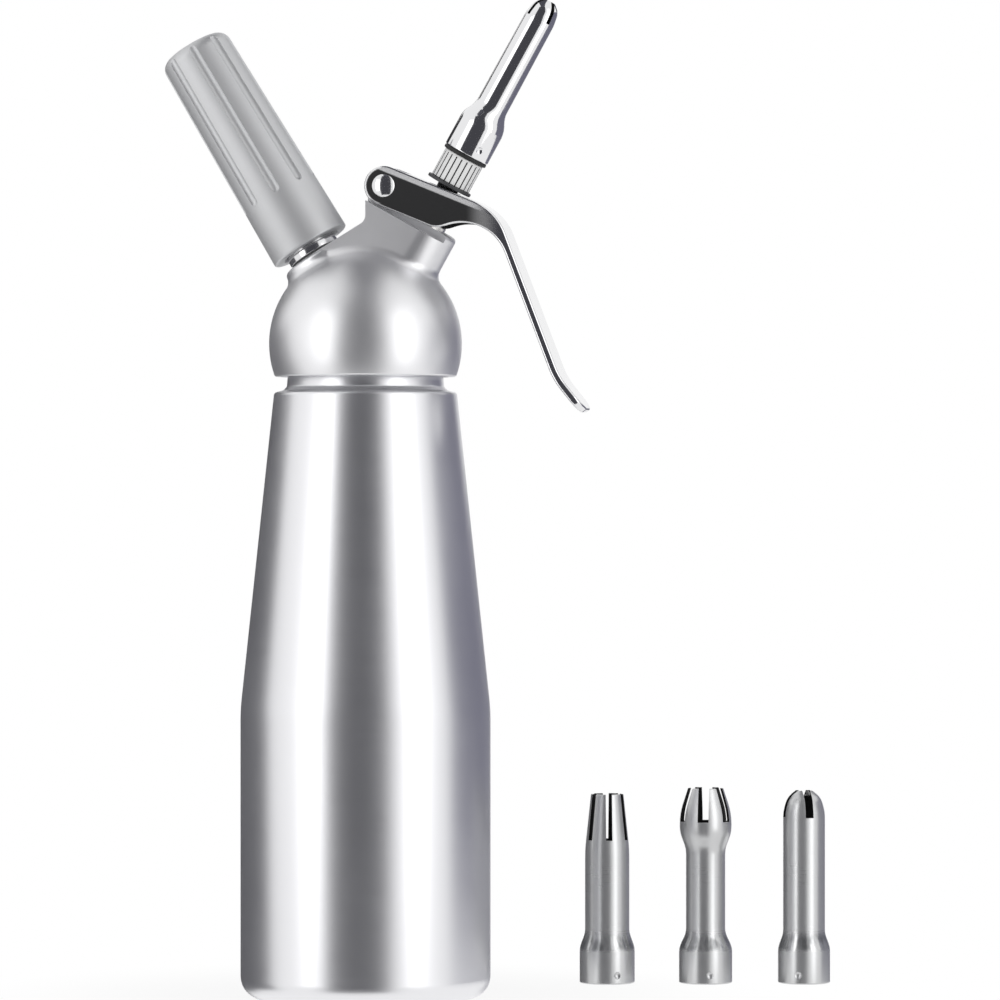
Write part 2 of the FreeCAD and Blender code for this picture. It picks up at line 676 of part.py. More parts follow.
def lever_flank_pair():
    """Two side plates of the yoke that carry the pivot pin."""
    belly = YOKE_END_RADIUS
    turn = math.radians(ARM_TURN)
    rise = math.radians(THROAT_ANGLE)
    arm_run, arm_rise = arm_point(0.0, LEVER_THICKNESS)
    down = (arm_run - BELLY_RUN) * math.sin(rise) - (arm_rise + belly) * math.cos(rise)
    throat = -down / math.sin(turn + rise)
    corners = [
        lever_corner(-YOKE_END_RADIUS, YOKE_END_RADIUS, YOKE_END_RADIUS),
        lever_corner(WEB_RUN, YOKE_END_RADIUS, WEB_BEND_RADIUS),
        lever_corner(*arm_point(ARM_RUN / 2, 0.0), 0.0),
        lever_corner(*arm_point(ARM_RUN / 2, LEVER_THICKNESS), 0.0),
        lever_corner(*arm_point(throat, LEVER_THICKNESS), THROAT_RADIUS),
        lever_corner(BELLY_RUN, -belly, BELLY_RADIUS),
        lever_corner(-YOKE_END_RADIUS, -belly, YOKE_END_RADIUS),
    ]
    whole = plate(corners, YOKE_WIDTH)
    between = YOKE_WIDTH / 2 - YOKE_FLANK
    room = slab(vec(-FAR_SIDE, -FAR_SIDE, -between), vec(FAR_SIDE, FAR_SIDE, between))
    return whole.cut(room)


def lever():
    """One-piece lever with its yoke, the stem's slot, the pin's holes and rounded edges."""
    body = lever_strip().fuse(lever_flank_pair()).removeSplitter()
    outer = YOKE_WIDTH / 2
    body = rounded(body, LEVER_CORNER_RADIUS, is_tip_corner)
    body = rounded(body, LEVER_EDGE_ROUND, lambda edge: abs(abs(edge.CenterOfMass.y) - outer) < SAME_PLACE)
    slot_middle = valve_slot_run()
    slot = rod(STEM_SLOT_LENGTH, -YOKE_END_RADIUS, YOKE_END_RADIUS)
    half = STEM_DIAMETER / 2 + SIDE_CLEARANCE
    slot = slot.common(slab(vec(-FAR_SIDE, -FAR_SIDE, -half), vec(FAR_SIDE, FAR_SIDE, half)))
    slot.rotate(vec(0, 0), SIDEWAYS, WEB_ANGLE)
    x, z, _ = lever_corner(slot_middle, WEB_INNER + LEVER_THICKNESS / 2, 0.0)
    slot.translate(vec(x, z))
    holes = cross_pin(PIN_DIAMETER, -YOKE_WIDTH, YOKE_WIDTH, PIVOT_X, PIVOT_Z)
    return body.cut([slot, holes])


def valve_slot_run():
    """Run along the web at which the stem passes it, in the middle of the lever's swing."""
    lean = math.radians(VALVE_TILT - WEB_ANGLE)
    crossing = -PIVOT_SIDE / math.cos(lean) + WEB_INNER * math.tan(lean)
    drift = WEB_INNER * math.radians(SQUEEZE_ANGLE) / 2
    return crossing - drift


def is_tip_corner(edge):
    """True for the two short edges across the thickness at the lever's free end."""
    end_x, end_z, _ = lever_corner(*flick_point(FLICK_RUN, LEVER_THICKNESS / 2), 0.0)
    middle = edge.CenterOfMass
    near_end = middle.distanceToPoint(vec(end_x, end_z, middle.y)) < LEVER_THICKNESS / 4
    return near_end and abs(abs(middle.y) - YOKE_WIDTH / 2) < SAME_PLACE


def domed_head(diameter, height, bore):
    """Low domed rivet head that sits on Z = 0, with a blind bore from below."""
    radius = diameter / 2
    ball = (radius ** 2 + height ** 2) / (2 * height)
    dome = Part.makeSphere(ball, vec(0, height - ball))
    dome = dome.common(rod(diameter + CUTTER_OVERRUN, 0.0, height + CUTTER_OVERRUN))
    if bore > 0.0:
        dome = dome.cut(rod(bore, -CUTTER_OVERRUN, height * PIN_CAP_SHARE))
    return dome


def stand_on_flank(shape, front):
    """Turn a piece drawn on Z = 0 to stand on the yoke's front or back flank at the pivot."""
    placed = shape.copy()
    side = -1.0 if front else 1.0
    placed.rotate(vec(0, 0), vec(1.0, 0.0), 90.0 if front else -90.0)
    placed.translate(vec(PIVOT_X, PIVOT_Z, side * YOKE_WIDTH / 2))
    return placed


def lever_pin():
    """Pivot pin with a domed head on the front flank."""
    dome = stand_on_flank(domed_head(PIN_HEAD_DIAMETER, PIN_HEAD_HEIGHT, 0.0), True)
    far_end = YOKE_WIDTH / 2 + PIN_HEAD_HEIGHT * PIN_CAP_SHARE
    shaft = cross_pin(PIN_DIAMETER, -YOKE_WIDTH / 2, far_end, PIVOT_X, PIVOT_Z)
    return dome.fuse(shaft)


def pin_cap():
    """Domed cap pressed on the pin's far end."""
    return stand_on_flank(domed_head(PIN_HEAD_DIAMETER, PIN_HEAD_HEIGHT, PIN_DIAMETER), False)


# ---------------------------------------------------------------- valve
def valve_stem():
    """Hollow stem that the lever presses down, with ports into the chamber and a thread for the adapter."""
    stem_r = STEM_DIAMETER / 2
    collar_r = STEM_COLLAR_DIAMETER / 2
    rod_r = STEM_ROD_DIAMETER / 2
    top = STEM_TOP
    body = turned([
        (0.0, PLUG_BOTTOM, 0.0),
        (rod_r, PLUG_BOTTOM, EDGE_BREAK),
        (rod_r, SPRING_SEAT_TOP, 0.0),
        (stem_r, SPRING_SEAT_TOP, EDGE_BREAK),
        (stem_r, COLLAR_BOTTOM, 0.0),
        (collar_r, COLLAR_BOTTOM, EDGE_ROUND),
        (collar_r, COLLAR_RIM_TOP, EDGE_ROUND),
        (stem_r, COLLAR_TOP, 0.0),
        (stem_r, DISC_BOTTOM, 0.0),
        (STEM_THREAD_DIAMETER / 2, DISC_BOTTOM, 0.0),
        (STEM_THREAD_DIAMETER / 2, top, EDGE_BREAK),
        (0.0, top, 0.0),
    ])
    bore = rod(STEM_BORE, CHAMBER_FLOOR_REACH + STEM_BORE_RISE, top + CUTTER_OVERRUN)
    port_place = vec(-stem_r, CHAMBER_FLOOR_REACH + STEM_PORT_RISE)
    port = Part.makeCylinder(STEM_PORT_DIAMETER / 2, STEM_DIAMETER, port_place, vec(1, 0))
    return on_valve(body.cut([bore, port, seal_groove()]))


def seal_groove():
    """Ring-shaped groove in the stem for its sliding seal."""
    middle = STEM_SEAL_REACH
    half = STEM_SEAL_SECTION * SEAL_GROOVE_SHARE / 2
    floor = STEM_DIAMETER + 2 * RUNNING_FIT - 2 * STEM_SEAL_SECTION
    return ring(STEM_DIAMETER + CUTTER_OVERRUN, floor, middle - half, middle + half)


def stem_seal():
    """Rubber ring in the stem's groove that slides in the bushing."""
    section = STEM_SEAL_SECTION / 2
    radius = STEM_DIAMETER / 2 + RUNNING_FIT - section
    return on_valve(Part.makeTorus(radius, section, vec(0, STEM_SEAL_REACH), UP))


def guide_bushing():
    """Brass bushing screwed into the valve boss that guides the stem."""
    body = turned([
        (STEM_DIAMETER / 2 + SLIDING_FIT, BUSHING_BOTTOM, 0.0),
        (CHAMBER_DIAMETER / 2, BUSHING_BOTTOM, EDGE_BREAK),
        (CHAMBER_DIAMETER / 2, VALVE_BOSS_REACH, 0.0),
        (BUSHING_FLANGE_DIAMETER / 2, VALVE_BOSS_REACH, 0.0),
        (BUSHING_FLANGE_DIAMETER / 2, BUSHING_TOP, EDGE_BREAK),
        (STEM_DIAMETER / 2 + SLIDING_FIT, BUSHING_TOP, EDGE_BREAK),
    ])
    return on_valve(body)


def valve_spring():
    """Coil spring that lifts the stem shut, between the chamber's floor and the spring seat."""
    wire = SPRING_WIRE / 2
    mean = (STEM_ROD_DIAMETER + CHAMBER_DIAMETER) / 4
    low = CHAMBER_FLOOR_REACH + wire
    high = SPRING_TOP - wire
    helix = Part.Wire(Part.makeHelix((high - low) / SPRING_TURNS, high - low, mean))
    section = Part.Wire(Part.makeCircle(wire, vec(mean, 0), SIDEWAYS))
    coil = helix.makePipeShell([section], True, True)
    coil.translate(vec(0, low))
    return on_valve(coil)


def spring_seat():
    """Washer under the stem's shoulder that the spring pushes on."""
    outer = CHAMBER_DIAMETER - 4 * SLIDING_FIT
    return on_valve(ring(outer, STEM_ROD_DIAMETER, SPRING_TOP, SPRING_SEAT_TOP))


def valve_seal():
    """Rubber ring on the stem that closes the throat from inside."""
    return on_valve(ring(VALVE_SEAL_DIAMETER, STEM_ROD_DIAMETER, PLUG_TOP, SEAT_REACH))


def valve_plug():
    """Nut on the stem's lower end that carries the valve seal."""
    body = rounded_at(rod(VALVE_SEAL_DIAMETER, PLUG_BOTTOM, PLUG_TOP), EDGE_ROUND, PLUG_BOTTOM)
    return on_valve(body.cut(rod(STEM_ROD_DIAMETER, PLUG_BOTTOM - CUTTER_OVERRUN, PLUG_TOP + CUTTER_OVERRUN)))


# ---------------------------------------------------------------- tip mounting
def thrust_disc():
    """Thin dark washer under the adapter."""
    return on_valve(ring(DISC_DIAMETER, STEM_THREAD_DIAMETER, DISC_BOTTOM, DISC_TOP))


def tip_adapter():
    """Plastic adapter: a ribbed grip ring on the stem and a threaded spigot for the tip."""
    over = CUTTER_OVERRUN
    grip = rod(ADAPTER_DIAMETER, DISC_TOP, ADAPTER_TOP)
    notch_place = ADAPTER_DIAMETER / 2 + ADAPTER_NOTCH_DIAMETER / 2 - ADAPTER_RIB_DEPTH
    notch = rod(ADAPTER_NOTCH_DIAMETER, DISC_TOP - over, ADAPTER_TOP - ADAPTER_RIM, x=notch_place)
    grip = grip.cut(around(notch, ADAPTER_RIBS, FRONT + 180.0 / ADAPTER_RIBS))
    spigot_top = ADAPTER_TOP + SPIGOT_LENGTH
    spigot = rounded_at(rod(SPIGOT_DIAMETER, ADAPTER_TOP - SPIGOT_ROOT, spigot_top), EDGE_BREAK, spigot_top)
    body = threaded(grip.fuse(spigot), SPIGOT_DIAMETER, SPIGOT_THREAD_HEIGHT, SPIGOT_THREAD_PITCH,
                    TIP_SEAT + SPIGOT_THREAD_MARGIN, spigot_top - SPIGOT_THREAD_MARGIN)
    socket = rod(STEM_THREAD_DIAMETER, DISC_TOP - over, STEM_TOP)
    passage = rod(ADAPTER_PASSAGE, STEM_TOP - over, spigot_top + over)
    return on_valve(body.cut([socket, passage]))


def adapter_gasket():
    """Black rubber ring between the adapter and the tip, wide enough to pass the spigot's thread."""
    bore = SPIGOT_DIAMETER + 2 * (SPIGOT_THREAD_HEIGHT + SLIDING_FIT)
    body = ring(ADAPTER_GASKET_DIAMETER, bore, ADAPTER_TOP, TIP_SEAT)
    body = rounded(body, EDGE_BREAK, lambda edge: edge.BoundBox.XLength > bore + SAME_PLACE)
    return on_valve(body)


# ---------------------------------------------------------------- decorating tips
class TipForm:
    """Sizes of one decorating tip, all heights from its foot."""

    def __init__(self, length, collar, collar_height, shoulder, barrel):
        """Take the sizes of the shell below the crown."""
        self.length = length
        self.collar = collar
        self.collar_height = collar_height
        self.shoulder = shoulder
        self.barrel = barrel
        self.crown = []
        self.dimple_turn = 0.0

    def add_crown(self, corners, rim):
        """Add the crown's corners (diameter, height below the end, radius) up to the rim's diameter."""
        self.crown = [(across / 2, self.length - below, radius) for across, below, radius in corners]
        self.crown.append((rim / 2, self.length, TIP_RIM_ROUND))

    def add_slots(self, count, width, depth, turn):
        """Say how the crown is slotted, with the first slot's angle from the front."""
        self.slots = count
        self.slot_width = width
        self.slot_depth = depth
        self.slot_turn = turn

    def outside(self):
        """Corners of the outer half section, from the foot up to the crown's end."""
        return [
            (self.collar / 2, 0.0, TIP_FOOT_ROUND),
            (self.collar / 2, self.collar_height, TIP_COLLAR_ROUND),
            (self.barrel / 2, self.collar_height + self.shoulder, TIP_SHOULDER_ROUND),
            *self.crown,
        ]

    def inside(self):
        """Corners of the inner half section, a wall's thickness inside the outer one."""
        wall = TIP_WALL
        upper = [(x - wall, z, radius) for x, z, radius in self.crown[:-1]]
        last_x, last_z, _ = self.crown[-1]
        return [
            (self.collar / 2 - wall, -CUTTER_OVERRUN, 0.0),
            (self.collar / 2 - wall, self.collar_height, TIP_COLLAR_ROUND - wall),
            (self.barrel / 2 - wall, self.collar_height + self.shoulder, TIP_SHOULDER_ROUND - wall),
            *upper,
            (last_x - wall, last_z + CUTTER_OVERRUN, 0.0),
        ]


def plain_tip_form():
    """Slim tip with a round nose and four slots, as fitted on the head."""
    form = TipForm(PLAIN_LENGTH, PLAIN_COLLAR_DIAMETER, PLAIN_COLLAR_HEIGHT, PLAIN_SHOULDER_HEIGHT,
                   PLAIN_BARREL_DIAMETER)
    form.add_crown([
        (PLAIN_BARREL_END_DIAMETER, PLAIN_NOSE_HEIGHT, PLAIN_NOSE_RADIUS),
        (PLAIN_CHEEK_DIAMETER, PLAIN_CHEEK_HEIGHT, PLAIN_CHEEK_RADIUS),
    ], PLAIN_RIM_DIAMETER)
    form.add_slots(PLAIN_SLOTS, PLAIN_SLOT_WIDTH, PLAIN_SLOT_DEPTH, PLAIN_SLOT_TURN)
    form.dimple_turn = PLAIN_DIMPLE_TURN
    return form


def star_tip_form():
    """Spare tip with a conical crown of six teeth."""
    form = TipForm(STAR_LENGTH, STAR_COLLAR_DIAMETER, STAR_COLLAR_HEIGHT, STAR_SHOULDER_HEIGHT,
                   STAR_BARREL_DIAMETER)
    form.add_crown([(STAR_BARREL_DIAMETER, STAR_CROWN_HEIGHT, STAR_CROWN_RADIUS)], STAR_RIM_DIAMETER)
    form.add_slots(STAR_SLOTS, STAR_SLOT_WIDTH, STAR_SLOT_DEPTH, STAR_SLOT_TURN)
    form.dimple_turn = STAR_DIMPLE_TURN
    return form


def tulip_tip_form():
    """Spare tip with a bulb below six broad slots."""
    form = TipForm(TULIP_LENGTH, TULIP_COLLAR_DIAMETER, TULIP_COLLAR_HEIGHT, TULIP_SHOULDER_HEIGHT,
                   TULIP_BARREL_DIAMETER)
    form.add_crown([
        (TULIP_BARREL_DIAMETER, TULIP_CROWN_HEIGHT, TULIP_WAIST_RADIUS),
        (TULIP_BULB_DIAMETER, TULIP_BULB_LOW, TULIP_BULB_LOW_RADIUS),
        (TULIP_BULB_DIAMETER, TULIP_BULB_HIGH, TULIP_BULB_HIGH_RADIUS),
    ], TULIP_RIM_DIAMETER)
    form.add_slots(TULIP_SLOTS, TULIP_SLOT_WIDTH, TULIP_SLOT_DEPTH, TULIP_SLOT_TURN)
    form.dimple_turn = TULIP_DIMPLE_TURN
    return form


def round_tip_form():
    """Spare tip with a domed nose and four slots."""
    form = TipForm(ROUND_LENGTH, ROUND_COLLAR_DIAMETER, ROUND_COLLAR_HEIGHT, ROUND_SHOULDER_HEIGHT,
                   ROUND_BARREL_DIAMETER)
    form.add_crown([
        (ROUND_BARREL_DIAMETER, ROUND_NOSE_HEIGHT, ROUND_NOSE_RADIUS),
        (ROUND_CHEEK_DIAMETER, ROUND_CHEEK_HEIGHT, ROUND_CHEEK_RADIUS),
    ], ROUND_RIM_DIAMETER)
    form.add_slots(ROUND_SLOTS, ROUND_SLOT_WIDTH, ROUND_SLOT_DEPTH, ROUND_SLOT_TURN)
    form.dimple_turn = ROUND_DIMPLE_TURN
    return form


def tip_shell(form):
    """Pressed steel tip that stands on Z = 0: thin shell, slots in its crown and dimples in its collar."""
    section = [(0.0, 0.0, 0.0), *form.outside(), (0.0, form.length, 0.0)]
    over = CUTTER_OVERRUN
    hollow = [(0.0, -over, 0.0), *form.inside(), (0.0, form.length + over, 0.0)]
    slot = slab(vec(0.0, form.length - form.slot_depth, -form.slot_width / 2),
                vec(form.collar, form.length + over, form.slot_width / 2))
    rim = TIP_DIMPLE_DIAMETER / 2
    ball = (rim ** 2 + TIP_DIMPLE_DEPTH ** 2) / (2 * TIP_DIMPLE_DEPTH)
    punch = Part.makeSphere(ball, vec(form.collar / 2 + ball - TIP_DIMPLE_DEPTH, TIP_DIMPLE_HEIGHT))
    shell = turned(section).cut(turned(hollow))
    shell = shell.cut(around(slot, form.slots, FRONT + form.slot_turn))
    return shell.cut(around(punch, TIP_DIMPLES, FRONT + form.dimple_turn))


def tip_thread_insert(form):
    """Threaded plastic insert in a tip's collar."""
    outer = form.collar - 2 * TIP_WALL
    bore = SPIGOT_DIAMETER + 2 * (SPIGOT_THREAD_HEIGHT + THREAD_CLEARANCE)
    return ring(outer, bore, 0.0, INSERT_LENGTH)


def on_seat(shape):
    """Place a tip drawn on Z = 0 on the adapter's gasket."""
    seated = shape.copy()
    seated.translate(vec(0, TIP_SEAT))
    return on_valve(seated)


def spare_place(number):
    """Where the middle of a spare tip's foot stands in the row."""
    turn = math.radians(SPARE_ROW_TURN)
    along = number * SPARE_SPACING
    return vec(SPARE_FIRST_X + along * math.cos(turn), 0.0, SPARE_FIRST_Y + along * math.sin(turn))


def as_spare(shape, number):
    """Stand a tip drawn on Z = 0 in the row of spares on the floor."""
    placed = shape.copy()
    placed.translate(spare_place(number))
    return placed


# ---------------------------------------------------------------- charger side
def charger_nipple():
    """Threaded post that the charger holder screws onto, with a flange and a spigot into the head."""
    body = turned([
        (0.0, NIPPLE_BOTTOM, 0.0),
        (NIPPLE_SPIGOT_DIAMETER / 2, NIPPLE_BOTTOM, EDGE_BREAK),
        (NIPPLE_SPIGOT_DIAMETER / 2, FLANGE_BOTTOM, 0.0),
        (NIPPLE_FLANGE_DIAMETER / 2, FLANGE_BOTTOM, EDGE_BREAK),
        (NIPPLE_FLANGE_DIAMETER / 2, FLANGE_TOP, EDGE_BREAK),
        (NIPPLE_DIAMETER / 2, FLANGE_TOP, 0.0),
        (NIPPLE_DIAMETER / 2, NIPPLE_TOP, EDGE_ROUND),
        (0.0, NIPPLE_TOP, 0.0),
    ])
    body = threaded(body, NIPPLE_DIAMETER, NIPPLE_THREAD_HEIGHT, NIPPLE_THREAD_PITCH,
                    FLANGE_TOP + NIPPLE_THREAD_MARGIN, NIPPLE_TOP - NIPPLE_THREAD_MARGIN)
    over = CUTTER_OVERRUN
    recess = rod(CHARGER_SEAL_DIAMETER, NIPPLE_TOP - CHARGER_SEAL_THICKNESS, NIPPLE_TOP + over)
    socket = rod(PIERCING_PIN_DIAMETER, pin_foot(), NIPPLE_TOP)
    passage = rod(NIPPLE_PASSAGE, NIPPLE_BOTTOM - over, NIPPLE_TOP)
    return on_charger(body.cut([recess, socket, passage]))


def pin_foot():
    """Reach of the piercing pin's lower end."""
    return NIPPLE_TOP + PIERCING_PIN_STAND - PIERCING_PIN_LENGTH


def nipple_gasket():
    """Rubber ring under the nipple's flange."""
    outer = NIPPLE_FLANGE_DIAMETER - 2 * SIDE_CLEARANCE
    return on_charger(ring(outer, NIPPLE_SPIGOT_DIAMETER, CHARGER_BOSS_REACH, FLANGE_BOTTOM))


def piercing_pin():
    """Hollow steel needle that opens the charger."""
    foot = pin_foot()
    tip = NIPPLE_TOP + PIERCING_PIN_STAND
    body = turned([
        (0.0, foot, 0.0),
        (PIERCING_PIN_DIAMETER / 2, foot, EDGE_BREAK),
        (PIERCING_PIN_DIAMETER / 2, NIPPLE_TOP - CHARGER_SEAL_THICKNESS, EDGE_BREAK),
        (NIPPLE_PASSAGE / 2, NIPPLE_TOP - CHARGER_SEAL_THICKNESS / 2, 0.0),
        (NIPPLE_PASSAGE / 2, tip - NIPPLE_PASSAGE, 0.0),
        (PIERCING_POINT_DIAMETER, tip, 0.0),
        (0.0, tip, 0.0),
    ])
    bore = rod(PIERCING_POINT_DIAMETER, foot - CUTTER_OVERRUN, tip + CUTTER_OVERRUN)
    return on_charger(body.cut(bore))


def charger_seal():
    """Rubber ring that the charger's neck presses on."""
    low = NIPPLE_TOP - CHARGER_SEAL_THICKNESS
    return on_charger(ring(CHARGER_SEAL_DIAMETER, PIERCING_PIN_DIAMETER + CHARGER_SEAL_PLAY, low, NIPPLE_TOP))


def non_return_valve():
    """Rubber mushroom that lets gas into the bottle and not back."""
    low = SEAT_REACH - NON_RETURN_THICKNESS
    body = turned([
        (0.0, low, 0.0),
        (NON_RETURN_DIAMETER / 2, low, EDGE_BREAK),
        (NON_RETURN_DIAMETER / 2, SEAT_REACH, 0.0),
        (NON_RETURN_STALK / 2, SEAT_REACH, 0.0),
        (NON_RETURN_STALK / 2, GAS_POCKET_FLOOR, 0.0),
        (NON_RETURN_STALK / 2 + NON_RETURN_BARB, GAS_POCKET_FLOOR, 0.0),
        (NON_RETURN_STALK / 4, NIPPLE_BOTTOM - TOUCH_GAP, 0.0),
        (0.0, NIPPLE_BOTTOM - TOUCH_GAP, 0.0),
    ])
    return on_charger(body)


def charger_holder():
    """Aluminium holder that screws the charger onto the pin, fluted for grip."""
    lower = HOLDER_LOWER_DIAMETER / 2
    upper = HOLDER_UPPER_DIAMETER / 2
    thread_bore = NIPPLE_DIAMETER / 2 + NIPPLE_THREAD_HEIGHT + THREAD_CLEARANCE
    charger_bore = CHARGER_DIAMETER / 2 + TOUCH_GAP
    thread_end = NIPPLE_TOP + HOLDER_THREAD_RUNOUT
    chamfer = HOLDER_MOUTH_CHAMFER
    body = turned([
        (thread_bore + chamfer, HOLDER_BOTTOM, 0.0),
        (lower, HOLDER_BOTTOM, chamfer),
        (upper, HOLDER_TOP, HOLDER_TOP_ROUND),
        (0.0, HOLDER_TOP, 0.0),
        (0.0, CHARGER_TOP + TOUCH_GAP, 0.0),
        (charger_bore, CHARGER_TOP + TOUCH_GAP, charger_bore - CHARGER_END_FLAT),
        (charger_bore, thread_end, 0.0),
        (thread_bore, thread_end - HOLDER_THREAD_RUNOUT / 2, 0.0),
        (thread_bore, HOLDER_BOTTOM + chamfer, 0.0),
    ])
    body.rotate(vec(0, 0), UP, HOLDER_SEAM_TURN)
    return on_charger(body.cut(around(flute_cutter(), HOLDER_FLUTES, FRONT + HOLDER_FLUTE_TURN)))


def flute_cutter():
    """Round-ended rod that cuts one flute along the holder's tapered side, at angle zero."""
    lower = HOLDER_LOWER_DIAMETER / 2
    upper = HOLDER_UPPER_DIAMETER / 2
    taper = math.degrees(math.atan2(lower - upper, HOLDER_LENGTH))
    cutter = rod(2 * FLUTE_RADIUS, 0.0, HOLDER_LENGTH).fuse(Part.makeSphere(FLUTE_RADIUS))
    cutter.rotate(vec(0, 0), SIDEWAYS, -taper)
    start_r = lower - (lower - upper) * FLUTE_START / HOLDER_LENGTH
    cutter.translate(vec(start_r + FLUTE_RADIUS - FLUTE_DEPTH, HOLDER_BOTTOM + FLUTE_START + FLUTE_RADIUS))
    return cutter


def gas_charger():
    """Steel gas cylinder, pierced at its neck."""
    radius = CHARGER_DIAMETER / 2
    neck = CHARGER_NECK_DIAMETER / 2
    wall = CHARGER_WALL
    shoulder = CHARGER_BOTTOM + CHARGER_NECK_LENGTH + CHARGER_SHOULDER
    neck_floor = CHARGER_BOTTOM + CHARGER_NECK_WALL
    body = turned([
        (0.0, CHARGER_BOTTOM, 0.0),
        (neck, CHARGER_BOTTOM, EDGE_ROUND),
        (neck, CHARGER_BOTTOM + CHARGER_NECK_LENGTH, CHARGER_NECK_ROUND),
        (radius, shoulder, CHARGER_SHOULDER_ROUND),
        (radius, CHARGER_TOP, radius - CHARGER_END_FLAT),
        (0.0, CHARGER_TOP, 0.0),
    ])
    hollow = turned([
        (0.0, neck_floor, 0.0),
        (neck - wall, neck_floor, EDGE_BREAK),
        (neck - wall, CHARGER_BOTTOM + CHARGER_NECK_LENGTH, CHARGER_NECK_ROUND),
        (radius - wall, shoulder + wall, CHARGER_SHOULDER_ROUND - wall),
        (radius - wall, CHARGER_TOP - wall, radius - wall - CHARGER_END_FLAT),
        (0.0, CHARGER_TOP - wall, 0.0),
    ])
    over = CUTTER_OVERRUN
    pierced = rod(NIPPLE_PASSAGE + CHARGER_SEAL_PLAY, CHARGER_BOTTOM - over, neck_floor + over)
    return on_charger(body.cut([hollow, pierced]))


# ---------------------------------------------------------------- all nodes
def all_nodes():
    """Every node's name with its solid."""
    plain = plain_tip_form()
    nodes = {
        "bottle": bottle(),
        "head": head(),
        "head_gasket": head_gasket(),
        "lever": lever(),
        "lever_pin": lever_pin(),
        "pin_cap": pin_cap(),
        "valve_stem": valve_stem(),
        "stem_seal": stem_seal(),
        "guide_bushing": guide_bushing(),
        "valve_spring": valve_spring(),
        "spring_seat": spring_seat(),
        "valve_seal": valve_seal(),
        "valve_plug": valve_plug(),
        "thrust_disc": thrust_disc(),
        "tip_adapter": tip_adapter(),
        "adapter_gasket": adapter_gasket(),
        "decorator_tip": on_seat(tip_shell(plain)),
        "tip_insert": on_seat(tip_thread_insert(plain)),
        "charger_nipple": charger_nipple(),
        "nipple_gasket": nipple_gasket(),
        "piercing_pin": piercing_pin(),
        "charger_seal": charger_seal(),
        "non_return_valve": non_return_valve(),
        "charger_holder": charger_holder(),
        "gas_charger": gas_charger(),
    }
    spares = {"star": star_tip_form(), "tulip": tulip_tip_form(), "round": round_tip_form()}
    for number, (name, form) in enumerate(spares.items()):
        nodes["spare_tip_" + name] = as_spare(tip_shell(form), number)
        nodes["spare_insert_" + name] = as_spare(tip_thread_insert(form), number)
    return nodes


def main():
    """Write one STEP file per node."""
    os.makedirs("parts", exist_ok=True)
    for name, shape in all_nodes().items():
        shape.exportStep("parts/" + name + ".step")
        box = shape.BoundBox
        print(f"{name:18s} valid {shape.isValid()} solids {len(shape.Solids)} volume {shape.Volume:9.1f} "
              f"x {box.XMin:7.1f} {box.XMax:7.1f} y {box.YMin:6.1f} {box.YMax:6.1f} "
              f"z {box.ZMin:6.1f} {box.ZMax:6.1f}")


if __name__ == "__main__":
    main()
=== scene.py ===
"""Looks of a whipped cream dispenser: its meshes, its finishes, the studio and the camera.

Sizes in the pieces' classes are millimetres and angles are degrees; MM turns them into metres where a mesh is
written. The studio's sizes are metres. Z is up, the lever and the decorating tip lean to +X and the charger
holder leans to -X. A turned piece is drawn about Z in its own frame and is then laid on its axis, so that it
ends where its node lies.
"""
from __future__ import annotations

import json
import logging
import math
from collections.abc import Callable
from dataclasses import dataclass, replace
from enum import Enum

import bmesh
import bpy
import numpy as np
from mathutils import Matrix, Vector


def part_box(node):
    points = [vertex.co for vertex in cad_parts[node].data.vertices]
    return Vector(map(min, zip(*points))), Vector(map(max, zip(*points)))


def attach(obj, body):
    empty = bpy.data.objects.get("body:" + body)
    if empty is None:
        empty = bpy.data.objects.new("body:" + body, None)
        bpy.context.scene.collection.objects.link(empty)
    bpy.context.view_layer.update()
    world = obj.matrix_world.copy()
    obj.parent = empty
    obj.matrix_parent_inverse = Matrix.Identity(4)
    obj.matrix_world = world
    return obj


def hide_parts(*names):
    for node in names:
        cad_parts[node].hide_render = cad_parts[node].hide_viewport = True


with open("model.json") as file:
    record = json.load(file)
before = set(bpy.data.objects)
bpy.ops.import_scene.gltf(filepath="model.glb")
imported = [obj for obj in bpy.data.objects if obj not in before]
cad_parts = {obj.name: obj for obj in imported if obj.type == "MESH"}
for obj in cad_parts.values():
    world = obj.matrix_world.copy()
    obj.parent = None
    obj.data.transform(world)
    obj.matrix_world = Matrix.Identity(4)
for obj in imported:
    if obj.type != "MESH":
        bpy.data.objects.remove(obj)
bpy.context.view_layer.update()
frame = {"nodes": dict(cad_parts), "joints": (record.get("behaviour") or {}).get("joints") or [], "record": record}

MM = 0.001
FULL_TURN = 2 * math.pi
FRONT = -90.0
AXIS_RADIUS = 1e-6
SAME_SPOT = 1e-6
SAME_EDGE = 1e-7
SHARP_RING = 35.0
HOLLOW = "hollow"
log = logging.getLogger("dispenser")

Triple = tuple[float, float, float]
Corner = Triple
Color = Triple
Point = tuple[float, float]


def shaded(color: Color, share: float) -> Color:
    """A colour made darker or lighter by a factor, white at most."""
    return tuple(min(1.0, part * share) for part in color)


